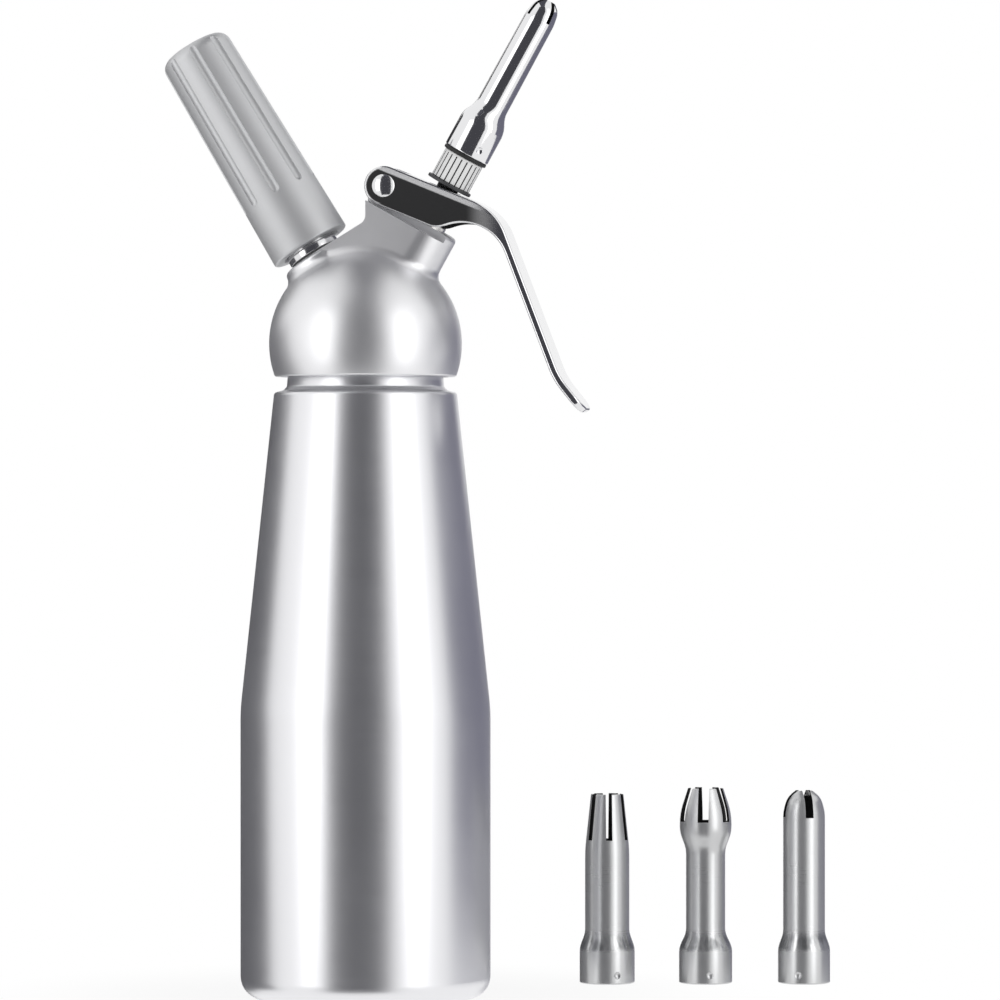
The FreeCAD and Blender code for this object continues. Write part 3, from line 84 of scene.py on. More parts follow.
# ---------------------------------------------------------------- node trees
class Value:
    """A socket of a node tree that takes part in Python expressions."""

    def __init__(self, nodes: Nodes, socket: bpy.types.NodeSocket) -> None:
        """Remember the tree and the socket."""
        self.nodes = nodes
        self.socket = socket

    def maths(self, operation: str, *others: Value | float) -> Value:
        """Add a Math node whose first input is this value."""
        values = dict(enumerate((self, *others)))
        return self.nodes.add("ShaderNodeMath", {"operation": operation}, values)

    def __add__(self, other: Value | float) -> Value:
        """Sum."""
        return self.maths("ADD", other)

    __radd__ = __add__

    def __sub__(self, other: Value | float) -> Value:
        """Difference."""
        return self.maths("SUBTRACT", other)

    def __rsub__(self, other: float) -> Value:
        """Difference from a number."""
        return self.nodes.add("ShaderNodeMath", {"operation": "SUBTRACT"}, {0: other, 1: self})

    def __mul__(self, other: Value | float) -> Value:
        """Product."""
        return self.maths("MULTIPLY", other)

    __rmul__ = __mul__

    def __truediv__(self, other: Value | float) -> Value:
        """Quotient."""
        return self.maths("DIVIDE", other)

    def __pow__(self, other: float) -> Value:
        """Power."""
        return self.maths("POWER", other)

    def size(self) -> Value:
        """Distance from zero."""
        return self.maths("ABSOLUTE")

    def most(self, other: Value | float) -> Value:
        """The larger of two values."""
        return self.maths("MAXIMUM", other)

    def least(self, other: Value | float) -> Value:
        """The smaller of two values."""
        return self.maths("MINIMUM", other)

    def step(self, low: float, high: float) -> Value:
        """Rise smoothly from 0 at low to 1 at high.

        Args:
            low: value at which the result is 0.
            high: value at which the result is 1; below low, the result falls instead.
        Returns:
            The smooth step.
        """
        settings = {"interpolation_type": "SMOOTHSTEP", "clamp": True}
        rising = high > low
        ends = {1: min(low, high), 2: max(low, high), 3: 0.0 if rising else 1.0, 4: 1.0 if rising else 0.0}
        return self.nodes.add("ShaderNodeMapRange", settings, {0: self, **ends})


class Nodes:
    """A node tree that is filled by one method."""

    def __init__(self, tree: bpy.types.NodeTree) -> None:
        """Take the tree and empty it."""
        self.tree = tree
        tree.nodes.clear()

    def add(self, kind: str, settings: dict | None = None, values: dict | None = None,
            output: int | str = 0) -> Value:
        """Add a node.

        Args:
            kind: the node's type.
            settings: its properties, set first.
            values: its inputs by name or number, each a number, a colour, an object or a Value.
            output: name or number of the output that is returned.
        Returns:
            That output.
        """
        node = self.tree.nodes.new(kind)
        for name, setting in (settings or {}).items():
            setattr(node, name, setting)
        for key, value in (values or {}).items():
            if isinstance(value, Value):
                self.tree.links.new(value.socket, node.inputs[key])
            else:
                node.inputs[key].default_value = value
        return Value(self, node.outputs[output]) if len(node.outputs) else Value(self, None)

    def mix(self, factor: Value | float, first: Value | Color, second: Value | Color) -> Value:
        """Mix two colours.

        Args:
            factor: share of the second colour.
            first: colour at 0.
            second: colour at 1.
        Returns:
            The mixed colour.
        """
        settings = {"data_type": "RGBA", "clamp_factor": True}
        first = first if isinstance(first, Value) else (*first, 1.0)
        second = second if isinstance(second, Value) else (*second, 1.0)
        return self.add("ShaderNodeMix", settings, {0: factor, 6: first, 7: second}, 2)

    def scaled(self, vector: Value, scale: Triple) -> Value:
        """Multiply a vector's parts."""
        return self.add("ShaderNodeVectorMath", {"operation": "MULTIPLY"}, {0: vector, 1: scale})

    def parts(self, vector: Value) -> tuple[Value, ...]:
        """Split a vector into X, Y and Z."""
        x = self.add("ShaderNodeSeparateXYZ", {}, {0: vector})
        return tuple(Value(self, output) for output in x.socket.node.outputs)

    def noise(self, vector: Value, scale: float, detail: float = 2.0, roughness: float = 0.5) -> Value:
        """Noise between 0 and 1."""
        values = {"Vector": vector, "Scale": scale, "Detail": detail, "Roughness": roughness}
        return self.add("ShaderNodeTexNoise", {}, values, "Fac")

    def bump(self, height: Value, depth: float, strength: float) -> Value:
        """Bump from a height between 0 and 1, its depth in millimetres."""
        values = {"Height": height, "Distance": depth * MM, "Strength": strength}
        return self.add("ShaderNodeBump", {}, values)

    def cells(self, spot: Value, per_metre: Triple, detail: float, roughness: float) -> Value:
        """Noise whose cells are stretched, by their number in a metre along X, Y and Z."""
        return self.noise(self.scaled(spot, per_metre), 1.0, detail, roughness)

    def hollow(self) -> Value:
        """The piece's hollow attribute."""
        return self.add("ShaderNodeAttribute", {"attribute_name": HOLLOW}, output="Fac")


# ---------------------------------------------------------------- places
def joint_named(name: str) -> dict:
    """A joint of the frame."""
    return next(joint for joint in frame["joints"] if joint["name"] == name)


class Place(Enum):
    """The frames that turned pieces are drawn in."""

    UPRIGHT = None
    VALVE = "tip_turn"
    CHARGER = "holder_turn"

    def crossing(self) -> Vector:
        """Find where the axis passes over the bottle's middle.

        Returns:
            The point, in metres.
        """
        if self is Place.UPRIGHT:
            return Vector((0, 0, 0))
        joint = joint_named(self.value)
        spot, way = Vector(joint["pos_m"]), Vector(joint["axis"])
        return spot - way * (spot.x / way.x)

    def tilt(self) -> float:
        """Measure the lean of the axis towards +X.

        Returns:
            The angle in radians.
        """
        if self is Place.UPRIGHT:
            return 0.0
        across, _, up = joint_named(self.value)["axis"]
        return math.atan2(across, up)

    def seat(self) -> float:
        """Level along the axis at which its screwed piece seats."""
        return (Vector(joint_named(self.value)["pos_m"]) - self.crossing()).length / MM

    def matrix(self) -> Matrix:
        """From the piece's own frame to its place."""
        return Matrix.Translation(self.crossing()) @ Matrix.Rotation(self.tilt(), 4, "Y")


@dataclass(frozen=True)
class Extent:
    """How far a node reaches in a place's frame."""

    low: float
    high: float
    radius: float
    bore: float

    @staticmethod
    def of(node: str, place: Place) -> Extent:
        """Measure a node.

        Args:
            node: the node's name.
            place: the frame to measure in.
        Returns:
            Its lowest and highest level, its largest radius and its smallest one.
        """
        mesh = frame["nodes"][node].data
        points = np.empty(len(mesh.vertices) * 3)
        mesh.vertices.foreach_get("co", points)
        back = np.array(place.matrix().inverted())
        points = (points.reshape(-1, 3) @ back[:3, :3].T + back[:3, 3]) / MM
        level = points[:, 2]
        radius = np.hypot(points[:, 0], points[:, 1])
        return Extent(float(level.min()), float(level.max()), float(radius.max()), float(radius.min()))


# ---------------------------------------------------------------- meshes
def rounded_line(corners: list[Corner], turn_step: float = 12.0, length_step: float = 2.0) -> list[Point]:
    """Closed outline through corners (radius, level, rounding).

    Args:
        corners: the corners with the radius of the arc at each.
        turn_step: largest turn between two points of an arc.
        length_step: largest distance between two points of an arc.
    Returns:
        The points, arcs included.
    """
    points: list[Point] = []
    for number, (x, z, radius) in enumerate(corners):
        here = Vector((x, z))
        if radius <= 0.0:
            points.append((x, z))
            continue
        back = (Vector(corners[number - 1][:2]) - here).normalized()
        ahead = (Vector(corners[(number + 1) % len(corners)][:2]) - here).normalized()
        half = back.angle(ahead) / 2
        center = here + (back + ahead).normalized() * radius / math.sin(half)
        start = here + back * radius / math.tan(half) - center
        turn = math.pi - 2 * half
        turn = -turn if back.x * ahead.y - back.y * ahead.x > 0 else turn
        by_turn = math.ceil(abs(turn) / math.radians(turn_step))
        by_length = math.ceil(abs(turn) * radius / length_step)
        steps = max(2, by_turn, by_length)
        for step in range(steps + 1):
            cos, sin = math.cos(turn * step / steps), math.sin(turn * step / steps)
            across, up = start.x * cos - start.y * sin, start.x * sin + start.y * cos
            points.append((center.x + across, center.y + up))
    return points


def ring_point(radius: float, turn: float, level: float) -> Vector:
    """Point at a radius, an angle in radians and a level."""
    return Vector((radius * math.cos(turn), radius * math.sin(turn), level))


def lathe(corners: list[Corner], segments: int = 128) -> bmesh.types.BMesh:
    """Turn a closed half section about Z.

    Args:
        corners: section's corners (radius, level, rounding), outside first, going up.
        segments: copies of the section around the axis.
    Returns:
        The closed mesh, in millimetres.
    """
    line = rounded_line(corners)
    mesh = bmesh.new()
    columns = []
    turns = [FULL_TURN * number / segments for number in range(segments)]
    for radius, level in line:
        if radius < AXIS_RADIUS:
            columns.append([mesh.verts.new((0, 0, level))] * segments)
            continue
        columns.append([mesh.verts.new(ring_point(radius, turn, level)) for turn in turns])
    for number, lower in enumerate(columns):
        upper = columns[(number + 1) % len(columns)]
        for side in range(segments):
            after = (side + 1) % segments
            loop = [lower[side], lower[after], upper[after], upper[side]]
            loop = [spot for place, spot in enumerate(loop) if spot is not loop[place - 1]]
            if len(loop) > 2:
                mesh.faces.new(loop)
    return mesh


def slab(depth: float, width: float, middle: float, low: float, high: float) -> bmesh.types.BMesh:
    """Make a box that stands beside the axis.

    Args:
        depth: its size along X.
        width: its size along Y.
        middle: distance of its middle from the axis.
        low: its lower level.
        high: its upper level.
    Returns:
        The closed mesh.
    """
    mesh = bmesh.new()
    bmesh.ops.create_cube(mesh, size=1.0)
    bmesh.ops.scale(mesh, vec=(depth, width, high - low), verts=mesh.verts)
    mesh.transform(Matrix.Translation((middle, 0, (low + high) / 2)))
    return mesh


def helix_ridge(root: float, height: float, pitch: float, low: float, high: float) -> bmesh.types.BMesh:
    """Make a right-hand thread ridge, sunk a little into its root.

    Args:
        root: radius that it stands on.
        height: how far it stands out.
        pitch: its rise in one turn.
        low: level at which it starts.
        high: level at which it ends.
    Returns:
        The closed mesh, in millimetres.
    """
    sink, per_turn = 0.3, 72
    foot, crest = 0.30 * pitch, 0.12 * pitch
    profile = [(root - sink, -foot), (root + height, -crest), (root + height, crest), (root - sink, foot)]
    rise = high - low - 2 * foot
    rings = int(per_turn * rise / pitch)
    mesh = bmesh.new()
    rows = []
    for number in range(rings + 1):
        turn = FULL_TURN * number / per_turn
        level = low + foot + rise * number / rings
        rows.append([mesh.verts.new(ring_point(radius, turn, level + z)) for radius, z in profile])
    for lower, upper in zip(rows, rows[1:]):
        for side in range(len(profile)):
            after = (side + 1) % len(profile)
            mesh.faces.new([lower[side], upper[side], upper[after], lower[after]])
    mesh.faces.new(rows[0])
    mesh.faces.new(rows[-1][::-1])
    bmesh.ops.recalc_face_normals(mesh, faces=mesh.faces)
    return mesh


def object_from(mesh: bmesh.types.BMesh, name: str) -> bpy.types.Object:
    """Make an object of a mesh, in the mesh's own units.

    Args:
        mesh: the mesh, which is freed.
        name: the object's name.
    Returns:
        The object, in the scene.
    """
    data = bpy.data.meshes.new(name)
    mesh.to_mesh(data)
    mesh.free()
    made = bpy.data.objects.new(name, data)
    bpy.context.scene.collection.objects.link(made)
    return made


def settled(piece: bpy.types.Object) -> bpy.types.Object:
    """Turn a piece with modifiers into a plain mesh.

    Args:
        piece: the piece.
    Returns:
        The same piece without modifiers.
    """
    bpy.context.view_layer.update()
    graph = bpy.context.evaluated_depsgraph_get()
    data = bpy.data.meshes.new_from_object(piece.evaluated_get(graph), depsgraph=graph)
    piece.modifiers.clear()
    piece.data = data
    data.name = piece.name
    return piece


def laid(piece: bpy.types.Object, place: Place) -> bpy.types.Object:
    """Lay a piece drawn in millimetres about Z on its axis, in metres."""
    piece.data.transform(place.matrix() @ Matrix.Scale(MM, 4))
    return piece


def smoothed(piece: bpy.types.Object, sharp: float = 32.0) -> bpy.types.Object:
    """Shade a piece smooth, apart from its sharp edges.

    Args:
        piece: the piece.
        sharp: angle in degrees past which an edge stays sharp.
    Returns:
        The same piece.
    """
    piece.data.shade_smooth()
    piece.data.set_sharp_from_angle(angle=math.radians(sharp))
    return piece


def creased(piece: bpy.types.Object, sharp: float) -> bpy.types.Object:
    """Shade smooth across faces that lie within an angle of each other, by their areas.

    Args:
        piece: the piece.
        sharp: the angle in degrees.
    Returns:
        The same piece, with a normal of its own in each corner.
    """
    mesh = piece.data
    mesh.shade_smooth()
    meeting: dict[int, list[tuple[Vector, Vector]]] = {}
    for face in mesh.polygons:
        for vertex in face.vertices:
            meeting.setdefault(vertex, []).append((face.normal.copy(), face.normal * face.area))
    limit = math.cos(math.radians(sharp))
    normals = []
    for face in mesh.polygons:
        for vertex in face.vertices:
            near = (weighed for normal, weighed in meeting[vertex] if normal.dot(face.normal) > limit)
            normals.append(sum(near, Vector()).normalized())
    mesh.normals_split_custom_set(normals)
    return piece


def mark_hollow(piece: bpy.types.Object, is_hollow: Callable[[bpy.types.MeshPolygon], bool]) -> None:
    """Set the hollow attribute of each face to 1 where a test says so, else to 0."""
    marks = piece.data.attributes.new(HOLLOW, "FLOAT", "FACE")
    marks.data.foreach_set("value", [float(is_hollow(face)) for face in piece.data.polygons])


def united(piece: bpy.types.Object, other: bpy.types.Object) -> bpy.types.Object:
    """Join another closed mesh to a piece.

    Args:
        piece: the closed mesh that is kept.
        other: the closed mesh that becomes part of it and is removed.
    Returns:
        The piece as a plain mesh.
    """
    union = piece.modifiers.new("union", "BOOLEAN")
    union.operation = "UNION"
    union.solver = "EXACT"
    union.object = other
    settled(piece)
    bpy.data.objects.remove(other)
    return piece


def copy_of(node: str, name: str) -> bpy.types.Object:
    """Copy a node's mesh with its doubles merged.

    Args:
        node: the node's name.
        name: the copy's name.
    Returns:
        The copy.
    """
    mesh = bmesh.new()
    mesh.from_mesh(frame["nodes"][node].data)
    bmesh.ops.remove_doubles(mesh, verts=mesh.verts, dist=SAME_SPOT)
    bmesh.ops.dissolve_degenerate(mesh, edges=mesh.edges, dist=SAME_EDGE)
    return object_from(mesh, name)


class RingOfCuts:
    """Geometry Nodes tree that cuts one cutter's copies, spread around Z, out of a piece."""

    NAME = "ring_of_cuts"

    def __init__(self) -> None:
        """Build the tree with its named inputs, once."""
        self.tree = bpy.data.node_groups.new(self.NAME, "GeometryNodeTree")
        face = self.tree.interface
        face.new_socket("Geometry", in_out="OUTPUT", socket_type="NodeSocketGeometry")
        for label, kind in (("Geometry", "Geometry"), ("Cutter", "Object"), ("Count", "Int"),
                            ("First angle", "Float"), ("Material", "Material")):
            face.new_socket(label, in_out="INPUT", socket_type="NodeSocket" + kind)
        nodes = Nodes(self.tree)
        body = nodes.add("NodeGroupInput", output="Geometry")
        given = body.socket.node.outputs
        chosen = Value(nodes, given["Cutter"])
        cutter = nodes.add("GeometryNodeObjectInfo", {}, {"Object": chosen}, "Geometry")
        count = Value(nodes, given["Count"])
        spots = nodes.add("GeometryNodeMeshLine", {}, {"Count": count, "Offset": (0, 0, 0)})
        index = nodes.add("GeometryNodeInputIndex")
        angle = index / count * FULL_TURN + Value(nodes, given["First angle"])
        turn = nodes.add("ShaderNodeCombineXYZ", {}, {2: angle})
        rotation = nodes.add("FunctionNodeEulerToRotation", {}, {0: turn})
        copies = nodes.add("GeometryNodeInstanceOnPoints", {},
                           {"Points": spots, "Instance": cutter, "Rotation": rotation})
        solid = nodes.add("GeometryNodeRealizeInstances", {}, {0: copies})
        cut = nodes.add("GeometryNodeMeshBoolean", {"operation": "DIFFERENCE", "solver": "EXACT"},
                        {"Mesh 1": body, "Mesh 2": solid}, "Mesh")
        dressed = nodes.add("GeometryNodeSetMaterial", {},
                            {"Geometry": cut, "Material": Value(nodes, given["Material"])})
        nodes.add("NodeGroupOutput", {}, {0: dressed})

    def cut(self, piece: bpy.types.Object, cutter: bpy.types.Object, count: int, first: float,
            material: bpy.types.Material) -> bpy.types.Object:
        """Cut the copies out of a piece and drop the cutter.

        Args:
            piece: the closed mesh to cut, about Z.
            cutter: the closed mesh of one cut, at angle zero.
            count: number of copies.
            first: angle of the first copy.
            material: the piece's material.
        Returns:
            The piece as a plain mesh.
        """
        modifier = piece.modifiers.new(self.NAME, "NODES")
        modifier.node_group = self.tree
        items = self.tree.interface.items_tree
        inputs = {item.name: item.identifier for item in items if item.in_out == "INPUT"}
        modifier[inputs["Cutter"]] = cutter
        modifier[inputs["Count"]] = count
        modifier[inputs["First angle"]] = math.radians(first)
        modifier[inputs["Material"]] = material
        settled(piece)
        bpy.data.objects.remove(cutter)
        return piece


# ---------------------------------------------------------------- finishes
def fresh_nodes(name: str) -> tuple[bpy.types.Material, Nodes]:
    """Make a material with an empty tree.

    Args:
        name: the material's name.
    Returns:
        The material and its nodes.
    """
    material = bpy.data.materials.new(name)
    material.use_nodes = True
    return material, Nodes(material.node_tree)


@dataclass(frozen=True)
class Finish:
    """A material with a name, a colour and a roughness."""

    name: str
    color: Color
    roughness: float

    metallic = 0.0

    def material(self) -> bpy.types.Material:
        """Make the finish's material, once.

        Returns:
            The material.
        """
        known = bpy.data.materials.get(self.name)
        if known is not None:
            return known
        made, nodes = fresh_nodes(self.name)
        spot = nodes.add("ShaderNodeTexCoord", output="Object")
        surface = {"Metallic": self.metallic, **self.surface(nodes, spot)}
        shader = nodes.add("ShaderNodeBsdfPrincipled", {}, surface)
        nodes.add("ShaderNodeOutputMaterial", {}, {"Surface": shader})
        return made

    def surface(self, nodes: Nodes, spot: Value) -> dict:
        """Values of the shader's sockets.

        Args:
            nodes: the material's tree.
            spot: object coordinates.
        Returns:
            The values by socket name.
        """
        raise NotImplementedError


@dataclass(frozen=True)
class TurnedMetal(Finish):
    """Metal with fine lines around an axis, as left by a lathe or a brushing wheel."""

    place: Place = Place.UPRIGHT
    middle: Point = (0.0, 0.0)
    line_pitch: float = 0.25
    line_depth: float = 0.0012
    streak: float = 0.05

    metallic = 1.0
    darkest = 0.80
    lightest = 1.12
    line_cells = 60.0
    band_cells = 25.0
    lines_per_band = 12
    band_share = 0.6
    cloud_cells = 35.0
    cloud_share = 0.02
    line_roughness = 0.10
    cloud_roughness = 0.06
    bump_strength = 0.6

    def surface(self, nodes: Nodes, spot: Value) -> dict:
        """Lines and broader bands around the axis, and soft clouds.

        Args:
            nodes: the material's tree.
            spot: object coordinates.
        Returns:
            The shader's values by socket name.
        """
        middle = self.place.crossing() + Vector((self.middle[0] * MM, self.middle[1] * MM, 0))
        turned = nodes.add("ShaderNodeMapping", {"vector_type": "TEXTURE"}, {
            "Vector": spot, "Location": middle, "Rotation": (0.0, self.place.tilt(), 0.0)})
        along = 1 / (self.line_pitch * MM)
        per_band = along / self.lines_per_band
        lines = nodes.cells(turned, (self.line_cells, self.line_cells, along), detail=3.0, roughness=0.65)
        bands = nodes.cells(turned, (self.band_cells, self.band_cells, per_band), detail=2.0, roughness=0.5)
        clouds = nodes.noise(turned, self.cloud_cells, detail=3.0, roughness=0.55)
        line, band, cloud = lines - 0.5, bands - 0.5, clouds - 0.5
        shade = line * self.streak + band * self.streak * self.band_share + cloud * self.cloud_share
        tone = nodes.mix(shade + 0.5, shaded(self.color, self.darkest), shaded(self.color, self.lightest))
        rough = line * self.line_roughness + cloud * self.cloud_roughness + self.roughness
        return {"Base Color": tone, "Roughness": rough,
                "Normal": nodes.bump(lines, self.line_depth, self.bump_strength)}


@dataclass(frozen=True)
class TipMetal(TurnedMetal):
    """Turned metal of a pressed tip, rougher and darkened by painted shade on its slot walls and inside."""

    painted_inner_shade: Color = (0.022, 0.022, 0.023)

    inner_roughness = 0.3

    def surface(self, nodes: Nodes, spot: Value) -> dict:
        """The turned metal, dull and darkened by painted shade where the piece's hollow attribute is 1.

        Args:
            nodes: the material's tree.
            spot: object coordinates.
        Returns:
            The shader's values by socket name.
        """
        values = super().surface(nodes, spot)
        hollow = nodes.hollow()
        # Painted shade: the tip's inside and its slot walls are darkened.
        values["Base Color"] = nodes.mix(hollow, values["Base Color"], self.painted_inner_shade)
        values["Roughness"] = values["Roughness"] + hollow * self.inner_roughness
        return values


@dataclass(frozen=True)
class SatinTipMetal(TipMetal):
    """Brushed metal of a loose tip, dulled by handling, its shoulder smoother and darker in patches."""

    shoulder_low: float = 13.8
    shoulder_high: float = 15.8
    fade_below: float = 2.2
    fade_above: float = 4.6
    shoulder_patch_shade: Color = (0.24, 0.245, 0.25)

    metallic = 0.74
    patch_cells = (190.0, 190.0, 60.0)
    patch_edge = (0.36, 0.62)
    patch_share = 0.85
    smoother = 0.12

    def surface(self, nodes: Nodes, spot: Value) -> dict:
        """The tip's metal, smoother and darker in patches between two heights above the floor.

        Args:
            nodes: the material's tree.
            spot: object coordinates.
        Returns:
            The shader's values by socket name.
        """
        values = super().surface(nodes, spot)
        height = nodes.parts(spot)[2] / MM
        above = height.step(self.shoulder_low - self.fade_below, self.shoulder_low)
        shoulder = above * height.step(self.shoulder_high + self.fade_above, self.shoulder_high)
        shoulder_patches = nodes.cells(spot, self.patch_cells, detail=3.0, roughness=0.6)
        dark_patches = shoulder * shoulder_patches.step(*self.patch_edge)
        # Darker in noisy patches on the shoulder only.
        values["Base Color"] = nodes.mix(dark_patches * self.patch_share, values["Base Color"], self.shoulder_patch_shade)
        values["Roughness"] = values["Roughness"] - shoulder * self.smoother
        return values


@dataclass(frozen=True)
class BlastedMetal(Finish):
    """Cast metal with a fine even grain."""

    grain: float = 0.35
    grain_depth: float = 0.004

    metallic = 1.0
    darkest = 0.88
    lightest = 1.06
    cloud_cells = 45.0
    cloud_share = 0.6
    grain_roughness = 0.08
    cloud_roughness = 0.06

    def surface(self, nodes: Nodes, spot: Value) -> dict:
        """Grain in bump and roughness, clouds in colour.

        Args:
            nodes: the material's tree.
            spot: object coordinates.
        Returns:
            The shader's values by socket name.
        """
        grain = nodes.noise(spot, 1 / (self.grain * MM), detail=3.0, roughness=0.6)
        clouds = nodes.noise(spot, self.cloud_cells, detail=3.0, roughness=0.5)
        shade = clouds * self.cloud_share + grain * (1 - self.cloud_share)
        tone = nodes.mix(shade, shaded(self.color, self.darkest), shaded(self.color, self.lightest))
        rough = (grain - 0.5) * self.grain_roughness + (clouds - 0.5) * self.cloud_roughness + self.roughness
        return {"Base Color": tone, "Roughness": rough,
                "Normal": nodes.bump(grain, self.grain_depth, strength=0.5)}


@dataclass(frozen=True)
class PolishedMetal(Finish):
    """Bright metal with faint wipe marks."""

    metallic = 1.0
    darkest = 0.93
    wipe_cells = (90.0, 90.0, 30.0)
    wipe_edge = (0.45, 0.75)
    hair_cells = (1800.0, 1800.0, 140.0)
    hair_depth = 0.0006
    wipe_roughness = 0.05

    def surface(self, nodes: Nodes, spot: Value) -> dict:
        """Wipe marks in roughness, a breath of colour, and hairline scratches in bump.

        Args:
            nodes: the material's tree.
            spot: object coordinates.
        Returns:
            The shader's values by socket name.
        """
        wipes = nodes.cells(spot, self.wipe_cells, detail=4.0, roughness=0.6)
        hair = nodes.cells(spot, self.hair_cells, detail=2.0, roughness=0.5)
        tone = nodes.mix(wipes, shaded(self.color, self.darkest), self.color)
        rough = wipes.step(*self.wipe_edge) * self.wipe_roughness + self.roughness
        return {"Base Color": tone, "Roughness": rough,
                "Normal": nodes.bump(hair, self.hair_depth, strength=0.5)}


@dataclass(frozen=True)
class LeverFinish(Finish):
    """Polished metal whose yoke flanks carry a black painted reflection of a dark card, between bright rounded
    edges.
    """

    black: Color = (0.022, 0.022, 0.023)
    web_angle: float = 22.3
    yoke_radius: float = 7.1
    top_band: float = 2.3
    end_band: float = 0.9
    top_blend: float = 0.25
    end_blend: float = 0.15
    band_roughness: float = 0.6
    painted_reflection_roughness: float = 0.36

    darkest = 0.92
    wipe_cells = (60.0, 90.0, 60.0)
    wipe_edge = (0.45, 0.8)
    wipe_roughness = 0.05
    grain_cells = 1600.0
    grain_depth = 0.0006
    grain_roughness = 0.08
    painted_reflection_cover = 0.9
    facing_side = (0.90, 0.985)
    fade_along_arm = (0.62, 0.46)
    end_fade = (0.0, 2.0)

    def flank(self, nodes: Nodes, spot: Value) -> Value:
        """1 on the yoke's flat flanks, falling to 0 down the arm and round the edges.

        Args:
            nodes: the material's tree.
            spot: object coordinates.
        Returns:
            The mask.
        """
        facing = nodes.parts(nodes.add("ShaderNodeNewGeometry", output="Normal"))[1].size()
        low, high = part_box("lever")
        reach = (nodes.parts(spot)[0] - low.x) / (high.x - low.x)
        return facing.step(*self.facing_side) * reach.step(*self.fade_along_arm)

    def field(self, nodes: Nodes, spot: Value) -> Value:
        """1 in the field of painted reflection, inside the bare bands along the yoke's top and round its end.

        Args:
            nodes: the material's tree.
            spot: object coordinates.
        Returns:
            The mask.
        """
        x, _, z = nodes.parts(spot)
        pivot = Vector(joint_named("lever_squeeze")["pos_m"])
        sine, cosine = math.sin(math.radians(self.web_angle)), math.cos(math.radians(self.web_angle))
        side, up = x - pivot.x, z - pivot.z
        rise = (side * sine + up * cosine) / MM
        run = (side * cosine - up * sine) / MM
        from_pivot = (rise ** 2.0 + run.least(0.0).size() ** 2.0) ** 0.5
        top, end = self.yoke_radius - self.top_band, self.yoke_radius - self.end_band
        below_top = rise.step(top + self.top_blend, top - self.top_blend)
        off_end = from_pivot.step(end + self.end_blend, end - self.end_blend)
        behind = run.step(*self.end_fade)
        return below_top.least(1.0 - (1.0 - off_end) * (1.0 - behind))

    def surface(self, nodes: Nodes, spot: Value) -> dict:
        """Black painted reflection of a dark card in the field, dull metal in the bands, polished metal elsewhere.

        Args:
            nodes: the material's tree.
            spot: object coordinates.
        Returns:
            The shader's values by socket name.
        """
        flank, field = self.flank(nodes, spot), self.field(nodes, spot)
        painted = flank * field
        band = flank * (1 - field)
        grain = nodes.noise(spot, self.grain_cells, detail=2.0, roughness=0.5)
        wipes = nodes.cells(spot, self.wipe_cells, detail=4.0, roughness=0.6)
        bright = nodes.mix(wipes, shaded(self.color, self.darkest), self.color)
        # Painted reflection: the flanks' field is black, standing in for a dark card seen in the metal.
        tone = nodes.mix(painted, bright, self.black)
        polish = (wipes.step(*self.wipe_edge) * self.wipe_roughness + self.roughness) * (1 - flank)
        paint = (grain * self.grain_roughness + self.painted_reflection_roughness) * painted
        rough = polish + paint + band * self.band_roughness
        return {"Base Color": tone, "Roughness": rough, "Metallic": 1 - painted * self.painted_reflection_cover,
                "Normal": nodes.bump(grain, self.grain_depth, strength=0.5)}


@dataclass(frozen=True)
class Rubber(Finish):
    """Matt rubber with a fine tooth."""

    tooth_cells = 2600.0
    tooth_depth = 0.01
    dust_cells = 160.0
    dust_lift = 0.004
    dust_share = 1.6
    dust_roughness = 0.15

    def surface(self, nodes: Nodes, spot: Value) -> dict:
        """Fine tooth in bump, dusty clouds in colour.

        Args:
            nodes: the material's tree.
            spot: object coordinates.
        Returns:
            The shader's values by socket name.
        """
        tooth = nodes.noise(spot, self.tooth_cells, detail=3.0, roughness=0.6)
        dust = nodes.noise(spot, self.dust_cells, detail=3.0, roughness=0.6)
        dusty = tuple(part * self.dust_share + self.dust_lift for part in self.color)
        rough = (dust - 0.5) * self.dust_roughness + self.roughness
        return {"Base Color": nodes.mix(dust, self.color, dusty), "Roughness": rough,
                "Normal": nodes.bump(tooth, self.tooth_depth, strength=0.4)}


@dataclass(frozen=True)
class MouldedPlastic(Finish):
    """Moulded plastic with a faint orange peel."""

    darkest = 0.94
    peel_cells = 900.0
    peel_depth = 0.01
    peel_roughness = 0.08
    flow_cells = (120.0, 120.0, 40.0)

    def surface(self, nodes: Nodes, spot: Value) -> dict:
        """Orange peel in bump, slight flow marks in colour.

        Args:
            nodes: the material's tree.
            spot: object coordinates.
        Returns:
            The shader's values by socket name.
        """
        peel = nodes.noise(spot, self.peel_cells, detail=2.0, roughness=0.5)
        flow = nodes.cells(spot, self.flow_cells, detail=2.0, roughness=0.5)
        rough = (peel - 0.5) * self.peel_roughness + self.roughness
        return {"Base Color": nodes.mix(flow, shaded(self.color, self.darkest), self.color),
                "Roughness": rough, "Normal": nodes.bump(peel, self.peel_depth, strength=0.35)}


@dataclass(frozen=True)
class GroovedPlastic(MouldedPlastic):
    """Moulded plastic with painted shade in the grooves of its grip."""

    painted_groove_shade: Color = (0.11, 0.11, 0.11)

    def surface(self, nodes: Nodes, spot: Value) -> dict:
        """The plastic, darkened by painted shade where the piece's hollow attribute is 1.

        Args:
            nodes: the material's tree.
            spot: object coordinates.
        Returns:
            The shader's values by socket name.
        """
        values = super().surface(nodes, spot)
        # Painted shade in the grip's grooves.
        values["Base Color"] = nodes.mix(nodes.hollow(), values["Base Color"], self.painted_groove_shade)
        return values


